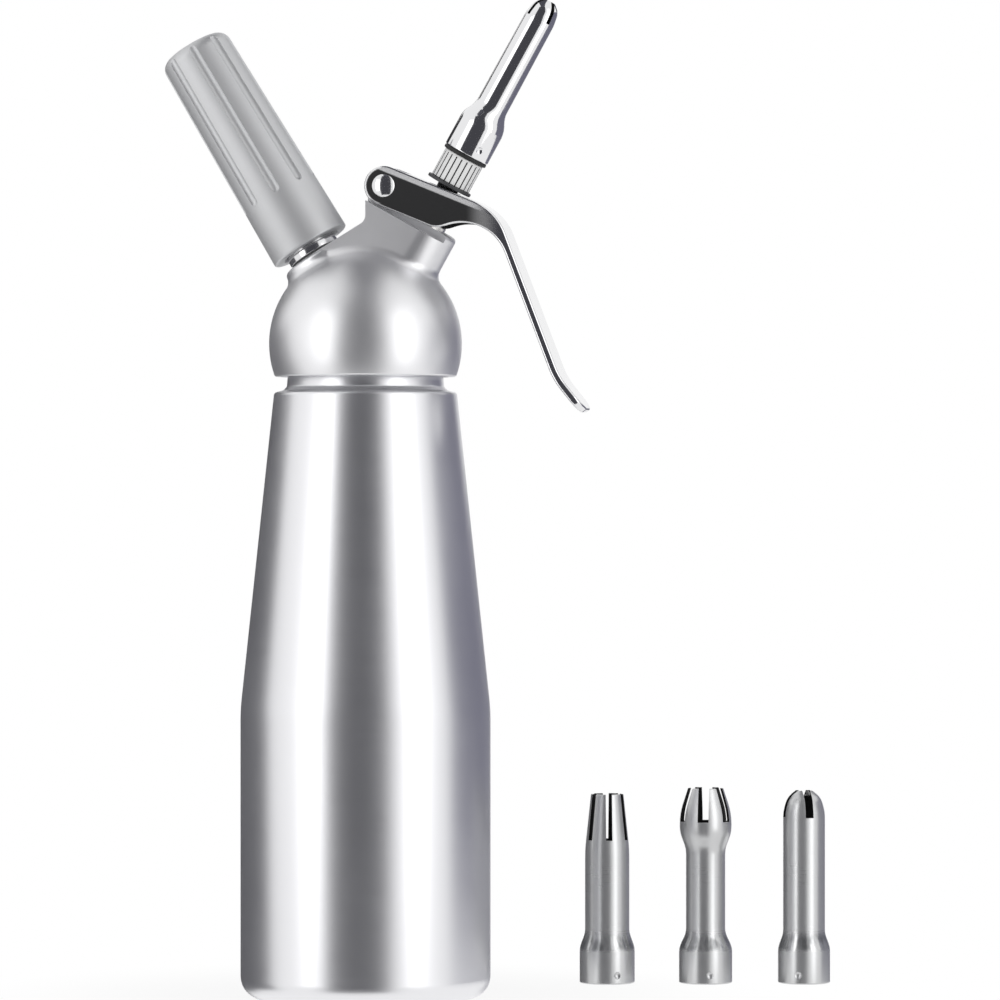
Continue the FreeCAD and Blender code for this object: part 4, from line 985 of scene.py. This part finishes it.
BOTTLE_ALUMINIUM = TurnedMetal("bottle aluminium", (0.87, 0.87, 0.89), 0.33, line_pitch=0.30,
                                line_depth=0.0004, streak=0.025)
HEAD_ALUMINIUM = BlastedMetal("head aluminium", (0.87, 0.87, 0.885), 0.41)
HOLDER_ALUMINIUM = TurnedMetal("holder aluminium", (0.69, 0.695, 0.705), 0.58, Place.CHARGER,
                                line_pitch=0.35)
LEVER_POLISH = LeverFinish("lever polish", (0.82, 0.82, 0.83), 0.10)
PIN_STEEL = PolishedMetal("pin steel", (0.80, 0.80, 0.81), 0.12)
STEM_STEEL = TurnedMetal("stem steel", (0.76, 0.76, 0.77), 0.22, Place.VALVE, line_pitch=0.2)
NIPPLE_STEEL = TurnedMetal("nipple steel", (0.80, 0.80, 0.81), 0.14, Place.CHARGER, line_pitch=0.2,
                           streak=0.03)
SPRING_STEEL = PolishedMetal("spring steel", (0.62, 0.62, 0.64), 0.30)
CHARGER_STEEL = TurnedMetal("charger steel", (0.66, 0.66, 0.68), 0.35, Place.CHARGER, line_pitch=0.5)
BUSHING_NICKEL = TurnedMetal("bushing nickel", (0.78, 0.77, 0.75), 0.25, Place.VALVE, line_pitch=0.2)
TIP_POLISH = TipMetal("tip polish", (0.84, 0.84, 0.85), 0.09, Place.VALVE, line_pitch=0.2, line_depth=0.0003,
                      streak=0.02)
SPARE_STEEL = SatinTipMetal("spare steel", (0.66, 0.665, 0.67), 0.30, line_depth=0.0005, streak=0.07)
DARK_WASHER = Rubber("dark washer", (0.035, 0.035, 0.038), 0.45)
BLACK_GASKET = Rubber("black gasket", (0.012, 0.012, 0.012), 0.6)
SEAL_RUBBER = Rubber("seal rubber", (0.05, 0.05, 0.05), 0.65)
ADAPTER_PLASTIC = GroovedPlastic("adapter plastic", (0.93, 0.93, 0.93), 0.42)
INSERT_PLASTIC = MouldedPlastic("insert plastic", (0.86, 0.86, 0.85), 0.45)


def present(piece: bpy.types.Object, node: str, material: bpy.types.Material) -> None:
    """Dress a piece, let it ride on its node's body and stand for the node.

    Args:
        piece: the finished mesh, in place.
        node: the node that it stands for.
        material: its material.
    """
    piece.data.materials.clear()
    piece.data.materials.append(material)
    for polygon in piece.data.polygons:
        polygon.material_index = 0
    body = next(name for name, members in frame["record"]["behaviour"]["bodies"].items() if node in members)
    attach(piece, body)
    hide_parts(node)
    log.info("%s stands for %s: %d faces", piece.name, node, len(piece.data.polygons))


def dress(node: str, finish: Finish) -> None:
    """Give a node that stays its material.

    Args:
        node: the node's name.
        finish: its finish.
    """
    piece = frame["nodes"][node]
    piece.data.materials.clear()
    piece.data.materials.append(finish.material())
    log.info("%s keeps its mesh", node)


# ---------------------------------------------------------------- bottle
@dataclass
class Bottle:
    """Drawn bottle with a waist, a shoulder and a threaded neck."""

    diameter: float = 90.0
    wall: float = 2.2
    floor: float = 3.2
    base_round: float = 8.0
    straight_height: float = 104.0
    waist_round: float = 80.0
    shoulder_height: float = 217.9
    shoulder_diameter: float = 65.8
    shoulder_round: float = 1.4
    shoulder_step: float = 0.9
    band_diameter: float = 59.0
    band_height: float = 5.0
    throat_diameter: float = 56.6
    throat_height: float = 1.3
    throat_round: float = 1.2
    throat_taper: float = 0.3
    neck_diameter: float = 54.8
    neck_bore: float = 49.6
    mouth_round: float = 0.9
    inner_round: float = 1.2
    corner_round: float = 0.2
    groove_inner: float = 57.2
    groove_outer: float = 60.0
    groove_depth: float = 0.6
    groove_flank: float = 0.2
    groove_round: float = 0.3
    thread_height: float = 1.1
    thread_pitch: float = 4.0
    thread_margin: float = 1.4
    segments: int = 256

    def base_groove(self) -> list[Corner]:
        """Outline the ring pressed into the underside.

        Returns:
            Its corners.
        """
        inner, outer = self.groove_inner / 2, self.groove_outer / 2
        return [
            (inner, 0.0, self.groove_round),
            (inner + self.groove_flank, self.groove_depth, self.corner_round),
            (outer - self.groove_flank, self.groove_depth, self.corner_round),
            (outer, 0.0, self.groove_round),
        ]

    def neck_band(self) -> list[Corner]:
        """Outline the bare band between the shoulder and the thread.

        Returns:
            Its corners.
        """
        foot = self.shoulder_height + self.shoulder_step
        throat, top = self.throat_diameter / 2, foot + self.band_height
        return [
            (self.band_diameter / 2, foot, self.corner_round),
            (throat, foot + self.throat_height, self.throat_round),
            (throat - self.throat_taper, top, self.corner_round),
            (self.neck_diameter / 2, top + self.throat_taper, self.corner_round),
        ]

    def section(self, mouth: float) -> list[Corner]:
        """Outline half of the wall.

        Args:
            mouth: height of the bottle's mouth.
        Returns:
            The section's corners.
        """
        outer, shoulder = self.diameter / 2, self.shoulder_diameter / 2
        bore, wall = self.neck_bore / 2, self.wall
        return [
            (0.0, 0.0, 0.0),
            *self.base_groove(),
            (outer, 0.0, self.base_round),
            (outer, self.straight_height, self.waist_round),
            (shoulder, self.shoulder_height, self.shoulder_round),
            *self.neck_band(),
            (self.neck_diameter / 2, mouth, self.mouth_round),
            (bore, mouth, self.mouth_round),
            (bore, self.shoulder_height, self.inner_round),
            (shoulder - wall, self.shoulder_height - wall, self.inner_round),
            (outer - wall, self.straight_height, self.waist_round - wall),
            (outer - wall, self.floor, self.base_round - wall),
            (0.0, self.floor, 0.0),
        ]

    def build(self) -> None:
        """Make the bottle."""
        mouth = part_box("bottle")[1].z / MM
        band_top = self.shoulder_height + self.shoulder_step + self.band_height
        shell = object_from(lathe(self.section(mouth), self.segments), "bottle_shell")
        ridge = helix_ridge(self.neck_diameter / 2, self.thread_height, self.thread_pitch,
                            band_top + self.thread_margin, mouth - self.thread_margin)
        united(shell, object_from(ridge, "bottle_thread"))
        smoothed(laid(shell, Place.UPRIGHT))
        present(shell, "bottle", BOTTLE_ALUMINIUM.material())


# ---------------------------------------------------------------- head
@dataclass
class Head:
    """Cast head with its gasket, bushing and the fixed pieces inside."""

    sharp: float = 28.0

    def build(self) -> None:
        """Make the casting and dress the small pieces."""
        casting = creased(copy_of("head", "head_casting"), self.sharp)
        present(casting, "head", HEAD_ALUMINIUM.material())
        dress("head_gasket", SEAL_RUBBER)
        dress("guide_bushing", BUSHING_NICKEL)
        dress("valve_spring", SPRING_STEEL)
        dress("non_return_valve", SEAL_RUBBER)


# ---------------------------------------------------------------- lever
@dataclass
class Lever:
    """One-piece lever with its pivot pin and cap."""

    pin_diameter: float = 5.0
    dome: float = 1.15
    dome_rings: int = 12
    rim_round: float = 0.25
    segments: int = 96
    sharp: float = 35.0
    pin_sharp: float = 40.0

    def build(self) -> None:
        """Make the lever, the pin and its cap."""
        lever = creased(copy_of("lever", "lever_bar"), self.sharp)
        present(lever, "lever", LEVER_POLISH.material())
        self.pin()
        cap = smoothed(copy_of("pin_cap", "pin_cap_dome"), self.pin_sharp)
        present(cap, "pin_cap", PIN_STEEL.material())

    def pin(self) -> None:
        """Make the pivot pin with its low domed head on the front flank."""
        low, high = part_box("lever_pin")
        middle = (low + high) / 2 / MM
        head = (high.x - low.x) / 2 / MM
        flank = -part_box("lever")[0].y / MM
        front, back, shank = -low.y / MM, -high.y / MM, self.pin_diameter / 2
        bulge = (head ** 2 + self.dome ** 2) / (2 * self.dome)
        rings = [head * number / self.dome_rings for number in range(self.dome_rings, -1, -1)]
        dome = [(x, front - bulge + math.sqrt(bulge ** 2 - x ** 2), 0.0) for x in rings]
        corners = [(0.0, back, 0.0), (shank, back, self.rim_round), (shank, flank, 0.0),
                   (head, flank, 0.0), (head, front - self.dome, self.rim_round), *dome[1:]]
        pin = object_from(lathe(corners, self.segments), "lever_pin_dome")
        turn = Matrix.Rotation(math.radians(90), 4, "X")
        pin.data.transform(Matrix.Scale(MM, 4) @ Matrix.Translation((middle.x, 0, middle.z)) @ turn)
        present(smoothed(pin, self.pin_sharp), "lever_pin", PIN_STEEL.material())


# ---------------------------------------------------------------- valve
@dataclass
class Valve:
    """Stem with its seals, and the disc, adapter and gasket that carry the tip."""

    groove_width: float = 0.5
    groove_depth: float = 0.8
    groove_count: int = 22
    rim: float = 0.8
    spigot_diameter: float = 10.6
    spigot_thread: float = 0.7
    spigot_pitch: float = 2.0
    thread_margin: float = 0.5
    passage: float = 5.0
    edge: float = 0.4
    mouth_edge: float = 0.3
    bore_edge: float = 0.1
    disc_edge: float = 0.3
    gasket_edge: float = 0.5
    ring_segments: int = 96
    grip_segments: int = 176
    reach: float = 1.0
    hollow_margin: float = 0.1
    skin: float = 0.05

    def build(self, cuts: RingOfCuts) -> None:
        """Make the pieces that show and dress the others.

        Args:
            cuts: the tree that cuts the adapter's grooves.
        """
        for node in ("spring_seat", "valve_plug"):
            dress(node, STEM_STEEL)
        for node in ("stem_seal", "valve_seal"):
            dress(node, SEAL_RUBBER)
        stem = smoothed(copy_of("valve_stem", "stem_turned"), SHARP_RING)
        present(stem, "valve_stem", STEM_STEEL.material())
        self.ring("thrust_disc", "disc_washer", DARK_WASHER, self.disc_edge)
        self.ring("adapter_gasket", "gasket_ring", BLACK_GASKET, self.gasket_edge)
        self.adapter(cuts)

    def ring(self, node: str, name: str, finish: Finish, rounding: float) -> None:
        """Make a flat ring the size of its node.

        Args:
            node: the node that it stands for.
            name: the piece's name.
            finish: its finish.
            rounding: rounding of its outer edges.
        """
        size = Extent.of(node, Place.VALVE)
        corners = [
            (size.bore, size.low, self.bore_edge),
            (size.radius, size.low, rounding),
            (size.radius, size.high, rounding),
            (size.bore, size.high, self.bore_edge),
        ]
        piece = object_from(lathe(corners, self.ring_segments), name)
        present(smoothed(laid(piece, Place.VALVE)), node, finish.material())

    def adapter(self, cuts: RingOfCuts) -> None:
        """Make the ribbed adapter with its threaded spigot.

        Args:
            cuts: the tree that cuts its grooves.
        """
        size = Extent.of("tip_adapter", Place.VALVE)
        gasket = Extent.of("adapter_gasket", Place.VALVE)
        seat, radius, spigot = gasket.low, size.radius, self.spigot_diameter / 2
        grip = [
            (self.passage / 2, size.low, 0.0),
            (radius, size.low, self.edge),
            (radius, seat, self.edge),
            (spigot, seat, 0.0),
            (spigot, size.high, self.edge),
            (self.passage / 2, size.high, self.mouth_edge),
        ]
        piece = object_from(lathe(grip, self.grip_segments), "adapter_grip")
        ridge = helix_ridge(spigot, self.spigot_thread, self.spigot_pitch,
                            gasket.high + self.thread_margin, size.high - self.thread_margin)
        united(piece, object_from(ridge, "adapter_thread"))
        material = ADAPTER_PLASTIC.material()
        foot, top = size.low - self.reach, seat - self.rim
        groove = slab(2 * self.groove_depth, self.groove_width, radius, foot, top)
        first = FRONT + 180 / self.groove_count
        cuts.cut(piece, object_from(groove, "groove"), self.groove_count, first, material)
        # The groove faces marked here take painted shade from the adapter's plastic.
        low, high = size.low + self.hollow_margin, top + self.hollow_margin
        mark_hollow(piece, lambda face: low < face.center.z < high
                    and spigot < face.center.xy.length < radius - self.skin)
        present(smoothed(laid(piece, Place.VALVE)), "tip_adapter", material)


# ---------------------------------------------------------------- tips
@dataclass
class Tip:
    """One decorating tip: thin pressed shell with slots in its crown and dimples in its collar.

    The crown's corners are (diameter, height below the end, rounding) and end at the rim's diameter.
    """

    node: str
    length: float
    collar: float
    shoulder: float
    barrel: float
    crown: list[Corner]
    rim: float
    slots: int
    slot_width: float
    slot_depth: float
    slot_turn: float
    dimple_turn: float
    collar_height: float = 13.2
    wall: float = 1.0
    foot_round: float = 0.56
    bend_round: float = 8.0
    rim_round: float = 0.4
    inner_round: float = 0.2
    tightest_bend: float = 1.0
    segments: int = 120
    dimples: int = 3
    dimple_diameter: float = 2.8
    dimple_depth: float = 0.6
    dimple_height: float = 3.4
    slot_inset: float = 0.8
    overshoot: float = 2.0
    outward_limit: float = 0.3
    upward_limit: float = 0.6

    def section(self) -> list[Corner]:
        """Outline half of the shell.

        Returns:
            The section's corners.
        """
        wall, foot, bend = self.wall, self.collar / 2, self.bend_round
        top = self.collar_height + self.shoulder
        crown = [(across / 2, self.length - below, radius) for across, below, radius in self.crown]
        inner = [(x - wall, z, max(radius - wall, self.tightest_bend)) for x, z, radius in reversed(crown)]
        return [
            (foot - wall, 0.0, self.inner_round),
            (foot, 0.0, self.foot_round),
            (foot, self.collar_height, bend),
            (self.barrel / 2, top, bend),
            *crown,
            (self.rim / 2, self.length, self.rim_round),
            (max(self.rim / 2 - wall, wall), self.length, self.inner_round),
            *inner,
            (self.barrel / 2 - wall, top, bend + wall),
            (foot - wall, self.collar_height, bend - wall),
        ]

    def slot_cutter(self) -> bpy.types.Object:
        """Make the slab of one slot, from inside the shell outwards and past its end.

        Returns:
            The cutter, at angle zero.
        """
        inner = max(self.rim / 2 - self.wall, self.wall) * self.slot_inset
        outer, low, high = self.collar, self.length - self.slot_depth, self.length + self.overshoot
        mesh = slab(outer - inner, self.slot_width, (outer + inner) / 2, low, high)
        return object_from(mesh, "slot_cutter")

    def punch(self) -> bpy.types.Object:
        """Make the ball that presses one dimple.

        Returns:
            The ball, at angle zero.
        """
        half = self.dimple_diameter / 2
        ball = (half ** 2 + self.dimple_depth ** 2) / (2 * self.dimple_depth)
        mesh = bmesh.new()
        bmesh.ops.create_uvsphere(mesh, u_segments=64, v_segments=48, radius=ball)
        middle = self.collar / 2 + ball - self.dimple_depth
        mesh.transform(Matrix.Translation((middle, 0, self.dimple_height)))
        return object_from(mesh, "punch")

    def faces_inward(self, face: bpy.types.MeshPolygon) -> bool:
        """True for the shell's inside and its slots' walls, apart from the rim's end."""
        outward = face.center.xy.normalized()
        return face.normal.xy.dot(outward) < self.outward_limit and abs(face.normal.z) < self.upward_limit

    def build(self, cuts: RingOfCuts, name: str, slot: str, finish: TurnedMetal, place: Place,
              foot: Vector) -> None:
        """Make the tip.

        Args:
            cuts: the tree that cuts slots and dimples.
            name: the piece's name.
            slot: the record's material slot, not used.
            finish: its finish.
            place: the frame in which it stands.
            foot: where its foot's middle lies in that frame.
        """
        material = finish.material()
        piece = object_from(lathe(self.section(), self.segments), name)
        cuts.cut(piece, self.slot_cutter(), self.slots, FRONT + self.slot_turn, material)
        cuts.cut(piece, self.punch(), self.dimples, FRONT + self.dimple_turn, material)
        # The inward faces marked here take painted shade from the tip's metal.
        mark_hollow(piece, self.faces_inward)
        piece.data.transform(Matrix.Translation(foot))
        present(smoothed(laid(piece, place)), self.node, material)


PLAIN_TIP = Tip(
    "decorator_tip", length=62.2, collar=17.0, shoulder=5.2, barrel=11.8,
    crown=[(11.4, 7.2, 14.0), (9.6, 2.2, 5.0)], rim=4.4,
    slots=4, slot_width=1.5, slot_depth=7.5, slot_turn=45.0, dimple_turn=35.4, collar_height=13.0)
SPARE_TIPS = {
    "star": Tip(
        "spare_tip_star", length=70.0, collar=20.4, shoulder=5.3, barrel=16.4,
        crown=[(16.4, 20.4, 60.0)], rim=12.0,
        slots=6, slot_width=2.3, slot_depth=17.0, slot_turn=14.7, dimple_turn=30.6),
    "tulip": Tip(
        "spare_tip_tulip", length=72.2, collar=19.7, shoulder=5.3, barrel=14.5,
        crown=[(14.5, 22.6, 10.0), (19.2, 16.4, 12.0), (19.2, 9.4, 24.0)], rim=13.0,
        slots=6, slot_width=4.0, slot_depth=12.4, slot_turn=2.2, dimple_turn=17.5),
    "round": Tip(
        "spare_tip_round", length=71.3, collar=19.3, shoulder=5.0, barrel=15.5,
        crown=[(15.5, 7.9, 14.0), (12.4, 2.6, 7.0)], rim=6.2,
        slots=4, slot_width=3.0, slot_depth=9.9, slot_turn=23.0, dimple_turn=-5.5),
}


class Tips:
    """The mounted tip and the spares with their threaded inserts."""

    def build(self, cuts: RingOfCuts) -> None:
        """Make every tip and dress its insert.

        Args:
            cuts: the tree that cuts slots and dimples.
        """
        seat = Vector((0, 0, Place.VALVE.seat()))
        PLAIN_TIP.build(cuts, "mounted_tip", "tip_polish", TIP_POLISH, Place.VALVE, seat)
        dress("tip_insert", INSERT_PLASTIC)
        for name, tip in SPARE_TIPS.items():
            low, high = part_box(tip.node)
            middle = (low + high) / 2 / MM
            finish = replace(SPARE_STEEL, name="spare steel " + name, middle=(middle.x, middle.y))
            foot = Vector((middle.x, middle.y, 0))
            tip.build(cuts, "loose_tip_" + name, "spare_steel", finish, Place.UPRIGHT, foot)
            dress("spare_insert_" + name, INSERT_PLASTIC)


# ---------------------------------------------------------------- charger side
@dataclass
class ChargerSide:
    """Nipple, holder and charger."""

    holder_lower: float = 29.6
    holder_upper: float = 26.5
    holder_top_round: float = 4.2
    mouth_round: float = 0.8
    thread_bore: float = 20.6
    charger_bore: float = 18.6
    bore_round: float = 8.3
    thread_depth: float = 15.9
    thread_runout: float = 1.0
    flutes: int = 9
    flute_radius: float = 2.0
    flute_depth: float = 0.9
    flute_start: float = 21.0
    flute_turn: float = 8.0
    end_wall: float = 4.2
    flute_end_round: float = 0.999
    segments: int = 180
    flute_segments: int = 64
    sharp: float = 30.0

    def build(self, cuts: RingOfCuts) -> None:
        """Make the holder and the nipple and dress the rest.

        Args:
            cuts: the tree that cuts the holder's flutes.
        """
        self.holder(cuts)
        nipple = smoothed(copy_of("charger_nipple", "nipple_turned"), SHARP_RING)
        present(nipple, "charger_nipple", NIPPLE_STEEL.material())
        dress("nipple_gasket", SEAL_RUBBER)
        dress("charger_seal", SEAL_RUBBER)
        dress("piercing_pin", STEM_STEEL)
        dress("gas_charger", CHARGER_STEEL)

    def holder(self, cuts: RingOfCuts) -> None:
        """Make the tapered holder with its round-ended flutes.

        Args:
            cuts: the tree that cuts the flutes.
        """
        size = Extent.of("charger_holder", Place.CHARGER)
        lower, upper = self.holder_lower / 2, self.holder_upper / 2
        thread, bore = self.thread_bore / 2, self.charger_bore / 2
        bore_top = size.high - self.end_wall
        thread_end = size.low + self.thread_depth
        corners = [
            (thread + self.mouth_round, size.low, 0.0),
            (lower, size.low, self.mouth_round),
            (upper, size.high, self.holder_top_round),
            (0.0, size.high, 0.0),
            (0.0, bore_top, 0.0),
            (bore, bore_top, self.bore_round),
            (bore, thread_end, 0.0),
            (thread, thread_end - self.thread_runout, 0.0),
            (thread, size.low + self.mouth_round, 0.0),
        ]
        piece = object_from(lathe(corners, self.segments), "holder_shell")
        material = HOLDER_ALUMINIUM.material()
        cuts.cut(piece, self.flute_cutter(size), self.flutes, FRONT + self.flute_turn, material)
        laid(piece, Place.CHARGER)
        present(smoothed(piece, self.sharp), "charger_holder", material)

    def flute_cutter(self, size: Extent) -> bpy.types.Object:
        """Make the round-ended rod that cuts one flute along the holder's taper.

        Args:
            size: the holder's extent.
        Returns:
            The rod, at angle zero.
        """
        lower, upper = self.holder_lower / 2, self.holder_upper / 2
        length, radius = size.high - size.low, self.flute_radius
        taper = math.atan2(lower - upper, length)
        rod = lathe([(0.0, -radius, 0.0), (radius, -radius, radius * self.flute_end_round),
                     (radius, length, 0.0), (0.0, length, 0.0)], self.flute_segments)
        start = lower - (lower - upper) * self.flute_start / length
        shift = Vector((start + radius - self.flute_depth, 0, size.low + self.flute_start + radius))
        rod.transform(Matrix.Translation(shift) @ Matrix.Rotation(-taper, 4, "Y"))
        return object_from(rod, "flute_cutter")


# ---------------------------------------------------------------- studio
def around(azimuth: float, distance: float, height: float) -> Vector:
    """Place at an azimuth in degrees, a distance from the bottle's axis and a height."""
    turn = math.radians(azimuth)
    return Vector((distance * math.sin(turn), -distance * math.cos(turn), height))


@dataclass(frozen=True)
class Card:
    """Dark card that only reflections see."""

    name: str
    shade: float
    blue: float

    def stand(self, mesh: bmesh.types.BMesh) -> None:
        """Make the card of a mesh, give it its shade and hide it from all but reflections.

        Args:
            mesh: the card's mesh, in metres.
        """
        card = object_from(mesh, self.name)
        material, nodes = fresh_nodes(self.name)
        color = (self.shade, self.shade, self.shade * self.blue, 1.0)
        glow = nodes.add("ShaderNodeEmission", {}, {"Color": color})
        nodes.add("ShaderNodeOutputMaterial", {}, {"Surface": glow})
        card.data.materials.append(material)
        card.visible_camera = False
        card.visible_diffuse = False
        card.visible_shadow = False
        card.visible_transmission = False


@dataclass(frozen=True)
class Flag(Card):
    """Curved card that stands on a circle around the bottle, its azimuths counted from the camera's."""

    first: float
    last: float
    low: float
    high: float
    lean: float = 0.0

    distance = 0.9
    steps = 24

    def build(self, middle: float) -> None:
        """Make the card. Its last edge leans by an angle from foot to top.

        Args:
            middle: the camera's azimuth.
        """
        mesh = bmesh.new()
        rows = []
        for number in range(self.steps + 1):
            foot = middle + self.first + (self.last - self.first) * number / self.steps
            top = foot + self.lean * number / self.steps
            ends = around(foot, self.distance, self.low), around(top, self.distance, self.high)
            rows.append([mesh.verts.new(end) for end in ends])
        for left, right in zip(rows, rows[1:]):
            mesh.faces.new([left[0], right[0], right[1], left[1]])
        self.stand(mesh)


FLAGS = (
    Flag("front_flag", 0.065, 1.15, -34.0, 23.0, -0.6, 1.40),
    Flag("left_flag", 0.10, 1.1, -150.0, -89.0, -0.40, 0.42, lean=-16.0),
    Flag("left_back_flag", 0.06, 1.12, -172.0, -150.0, -0.30, 0.62),
    Flag("left_upper_flag", 0.03, 1.12, -150.0, -128.0, 0.42, 0.80),
    Flag("right_flag", 0.17, 1.3, 150.0, 84.0, -0.12, 0.46),
    Flag("right_upper_flag", 0.12, 1.2, 158.0, 128.0, 0.46, 0.95),
    Flag("right_back_flag", 0.20, 1.2, 165.0, 151.0, -0.30, 0.22),
)
CANOPY = Card("canopy", 0.08, 1.2)


@dataclass
class Studio:
    """Floor, white surroundings, soft lamps, dark cards and the camera, in metres."""

    azimuth: float = 10.0
    distance: float = 2.0
    eye_height: float = 0.190
    aim_side: float = 0.0484
    aim_height: float = 0.1793
    lens: float = 200.0
    sensor: float = 36.0
    horizon: float = 100.0
    floor_size: float = 30.0
    floor_shade: float = 0.93
    shadow_reach: float = 0.16
    shadow_core: float = 0.3
    shadow_share: float = 0.15
    soft_light: float = 0.65
    box_azimuth: float = 48.0
    box_distance: float = 1.1
    box_height: float = 0.35
    box_width: float = 0.40
    box_length: float = 1.1
    box_aim: float = 0.17
    box_power: float = 1.9
    canopy_width: float = 0.62
    canopy_length: float = 1.70
    canopy_height: float = 1.35

    def world(self) -> None:
        """White for the camera and for reflections, softer for diffuse light."""
        world = bpy.data.worlds.new("surroundings")
        bpy.context.scene.world = world
        world.use_nodes = True
        nodes = Nodes(world.node_tree)
        path = nodes.add("ShaderNodeLightPath", output="Is Camera Ray")
        outputs = path.socket.node.outputs
        glossy, through = Value(nodes, outputs["Is Glossy Ray"]), Value(nodes, outputs["Is Transmission Ray"])
        strength = path.most(glossy).most(through) * (1 - self.soft_light) + self.soft_light
        light = nodes.add("ShaderNodeBackground", {}, {"Color": (1, 1, 1, 1), "Strength": strength})
        nodes.add("ShaderNodeOutputWorld", {}, {"Surface": light})

    def floor(self) -> None:
        """Pale floor that keeps a soft shadow."""
        mesh = bmesh.new()
        bmesh.ops.create_grid(mesh, x_segments=1, y_segments=1, size=self.floor_size)
        floor = object_from(mesh, "floor")
        material, nodes = fresh_nodes("floor")
        path = nodes.add("ShaderNodeLightPath", output="Is Camera Ray")
        shade = self.floor_shade
        paint = nodes.add("ShaderNodeBsdfDiffuse", {}, {"Color": (shade, shade, shade, 1)})
        white = nodes.add("ShaderNodeEmission", {}, {"Color": (1, 1, 1, 1)})
        spot = nodes.add("ShaderNodeTexCoord", output="Object")
        away = nodes.add("ShaderNodeVectorMath", {"operation": "LENGTH"}, {0: spot}, "Value")
        beyond = away.step(self.shadow_reach * self.shadow_core, self.shadow_reach)
        plain = beyond * self.shadow_share + (1 - self.shadow_share)
        mixed = nodes.add("ShaderNodeMixShader", {}, {0: path * plain, 1: paint, 2: white})
        nodes.add("ShaderNodeOutputMaterial", {}, {"Surface": mixed})
        floor.data.materials.append(material)
        floor.visible_glossy = False

    def soft_box(self, name: str, azimuth: float) -> None:
        """Stand a lamp that faces the bottle.

        Args:
            name: the lamp's name.
            azimuth: where it stands, in degrees.
        """
        data = bpy.data.lights.new(name, "AREA")
        data.shape = "RECTANGLE"
        data.size, data.size_y = self.box_width, self.box_length
        data.energy = self.box_power
        lamp = bpy.data.objects.new(name, data)
        lamp.location = around(azimuth, self.box_distance, self.box_height)
        aim = Vector((0, 0, self.box_aim)) - lamp.location
        lamp.rotation_euler = aim.to_track_quat("-Z", "Y").to_euler()
        lamp.visible_camera = False
        bpy.context.scene.collection.objects.link(lamp)

    def camera(self) -> None:
        """Long lens at the height of the bottle's upper half."""
        data = bpy.data.cameras.new("camera")
        data.lens = self.lens
        data.sensor_width = self.sensor
        data.clip_end = self.horizon
        camera = bpy.data.objects.new("camera", data)
        turn = math.radians(self.azimuth)
        right = Vector((math.cos(turn), math.sin(turn), 0))
        ahead = Vector((-math.sin(turn), math.cos(turn), 0))
        aim = right * self.aim_side + Vector((0, 0, self.aim_height))
        camera.location = right * self.aim_side - ahead * self.distance + Vector((0, 0, self.eye_height))
        camera.rotation_euler = (aim - camera.location).to_track_quat("-Z", "Y").to_euler()
        bpy.context.scene.collection.objects.link(camera)
        bpy.context.scene.camera = camera

    def build(self) -> None:
        """Set the whole stage."""
        bpy.context.scene.view_settings.view_transform = "Standard"
        self.camera()
        self.world()
        self.floor()
        self.soft_box("soft_box_left", self.azimuth - self.box_azimuth)
        self.soft_box("soft_box_right", self.azimuth + self.box_azimuth)
        for flag in FLAGS:
            flag.build(self.azimuth)
        self.canopy()

    def canopy(self) -> None:
        """Dark card high over the bottle, in line with the front card."""
        mesh = bmesh.new()
        bmesh.ops.create_grid(mesh, x_segments=1, y_segments=1, size=0.5)
        bmesh.ops.scale(mesh, vec=(self.canopy_width, self.canopy_length, 1.0), verts=mesh.verts)
        turn = Matrix.Rotation(math.radians(self.azimuth), 4, "Z")
        mesh.transform(Matrix.Translation((0, 0, self.canopy_height)) @ turn)
        CANOPY.stand(mesh)


def main() -> None:
    """Build the stage, then every sub-assembly."""
    logging.basicConfig(level=logging.INFO, format="%(name)s: %(message)s")
    Studio().build()
    cuts = RingOfCuts()
    Bottle().build()
    Head().build()
    Lever().build()
    Valve().build(cuts)
    Tips().build(cuts)
    ChargerSide().build(cuts)


if __name__ == "__main__":
    main()
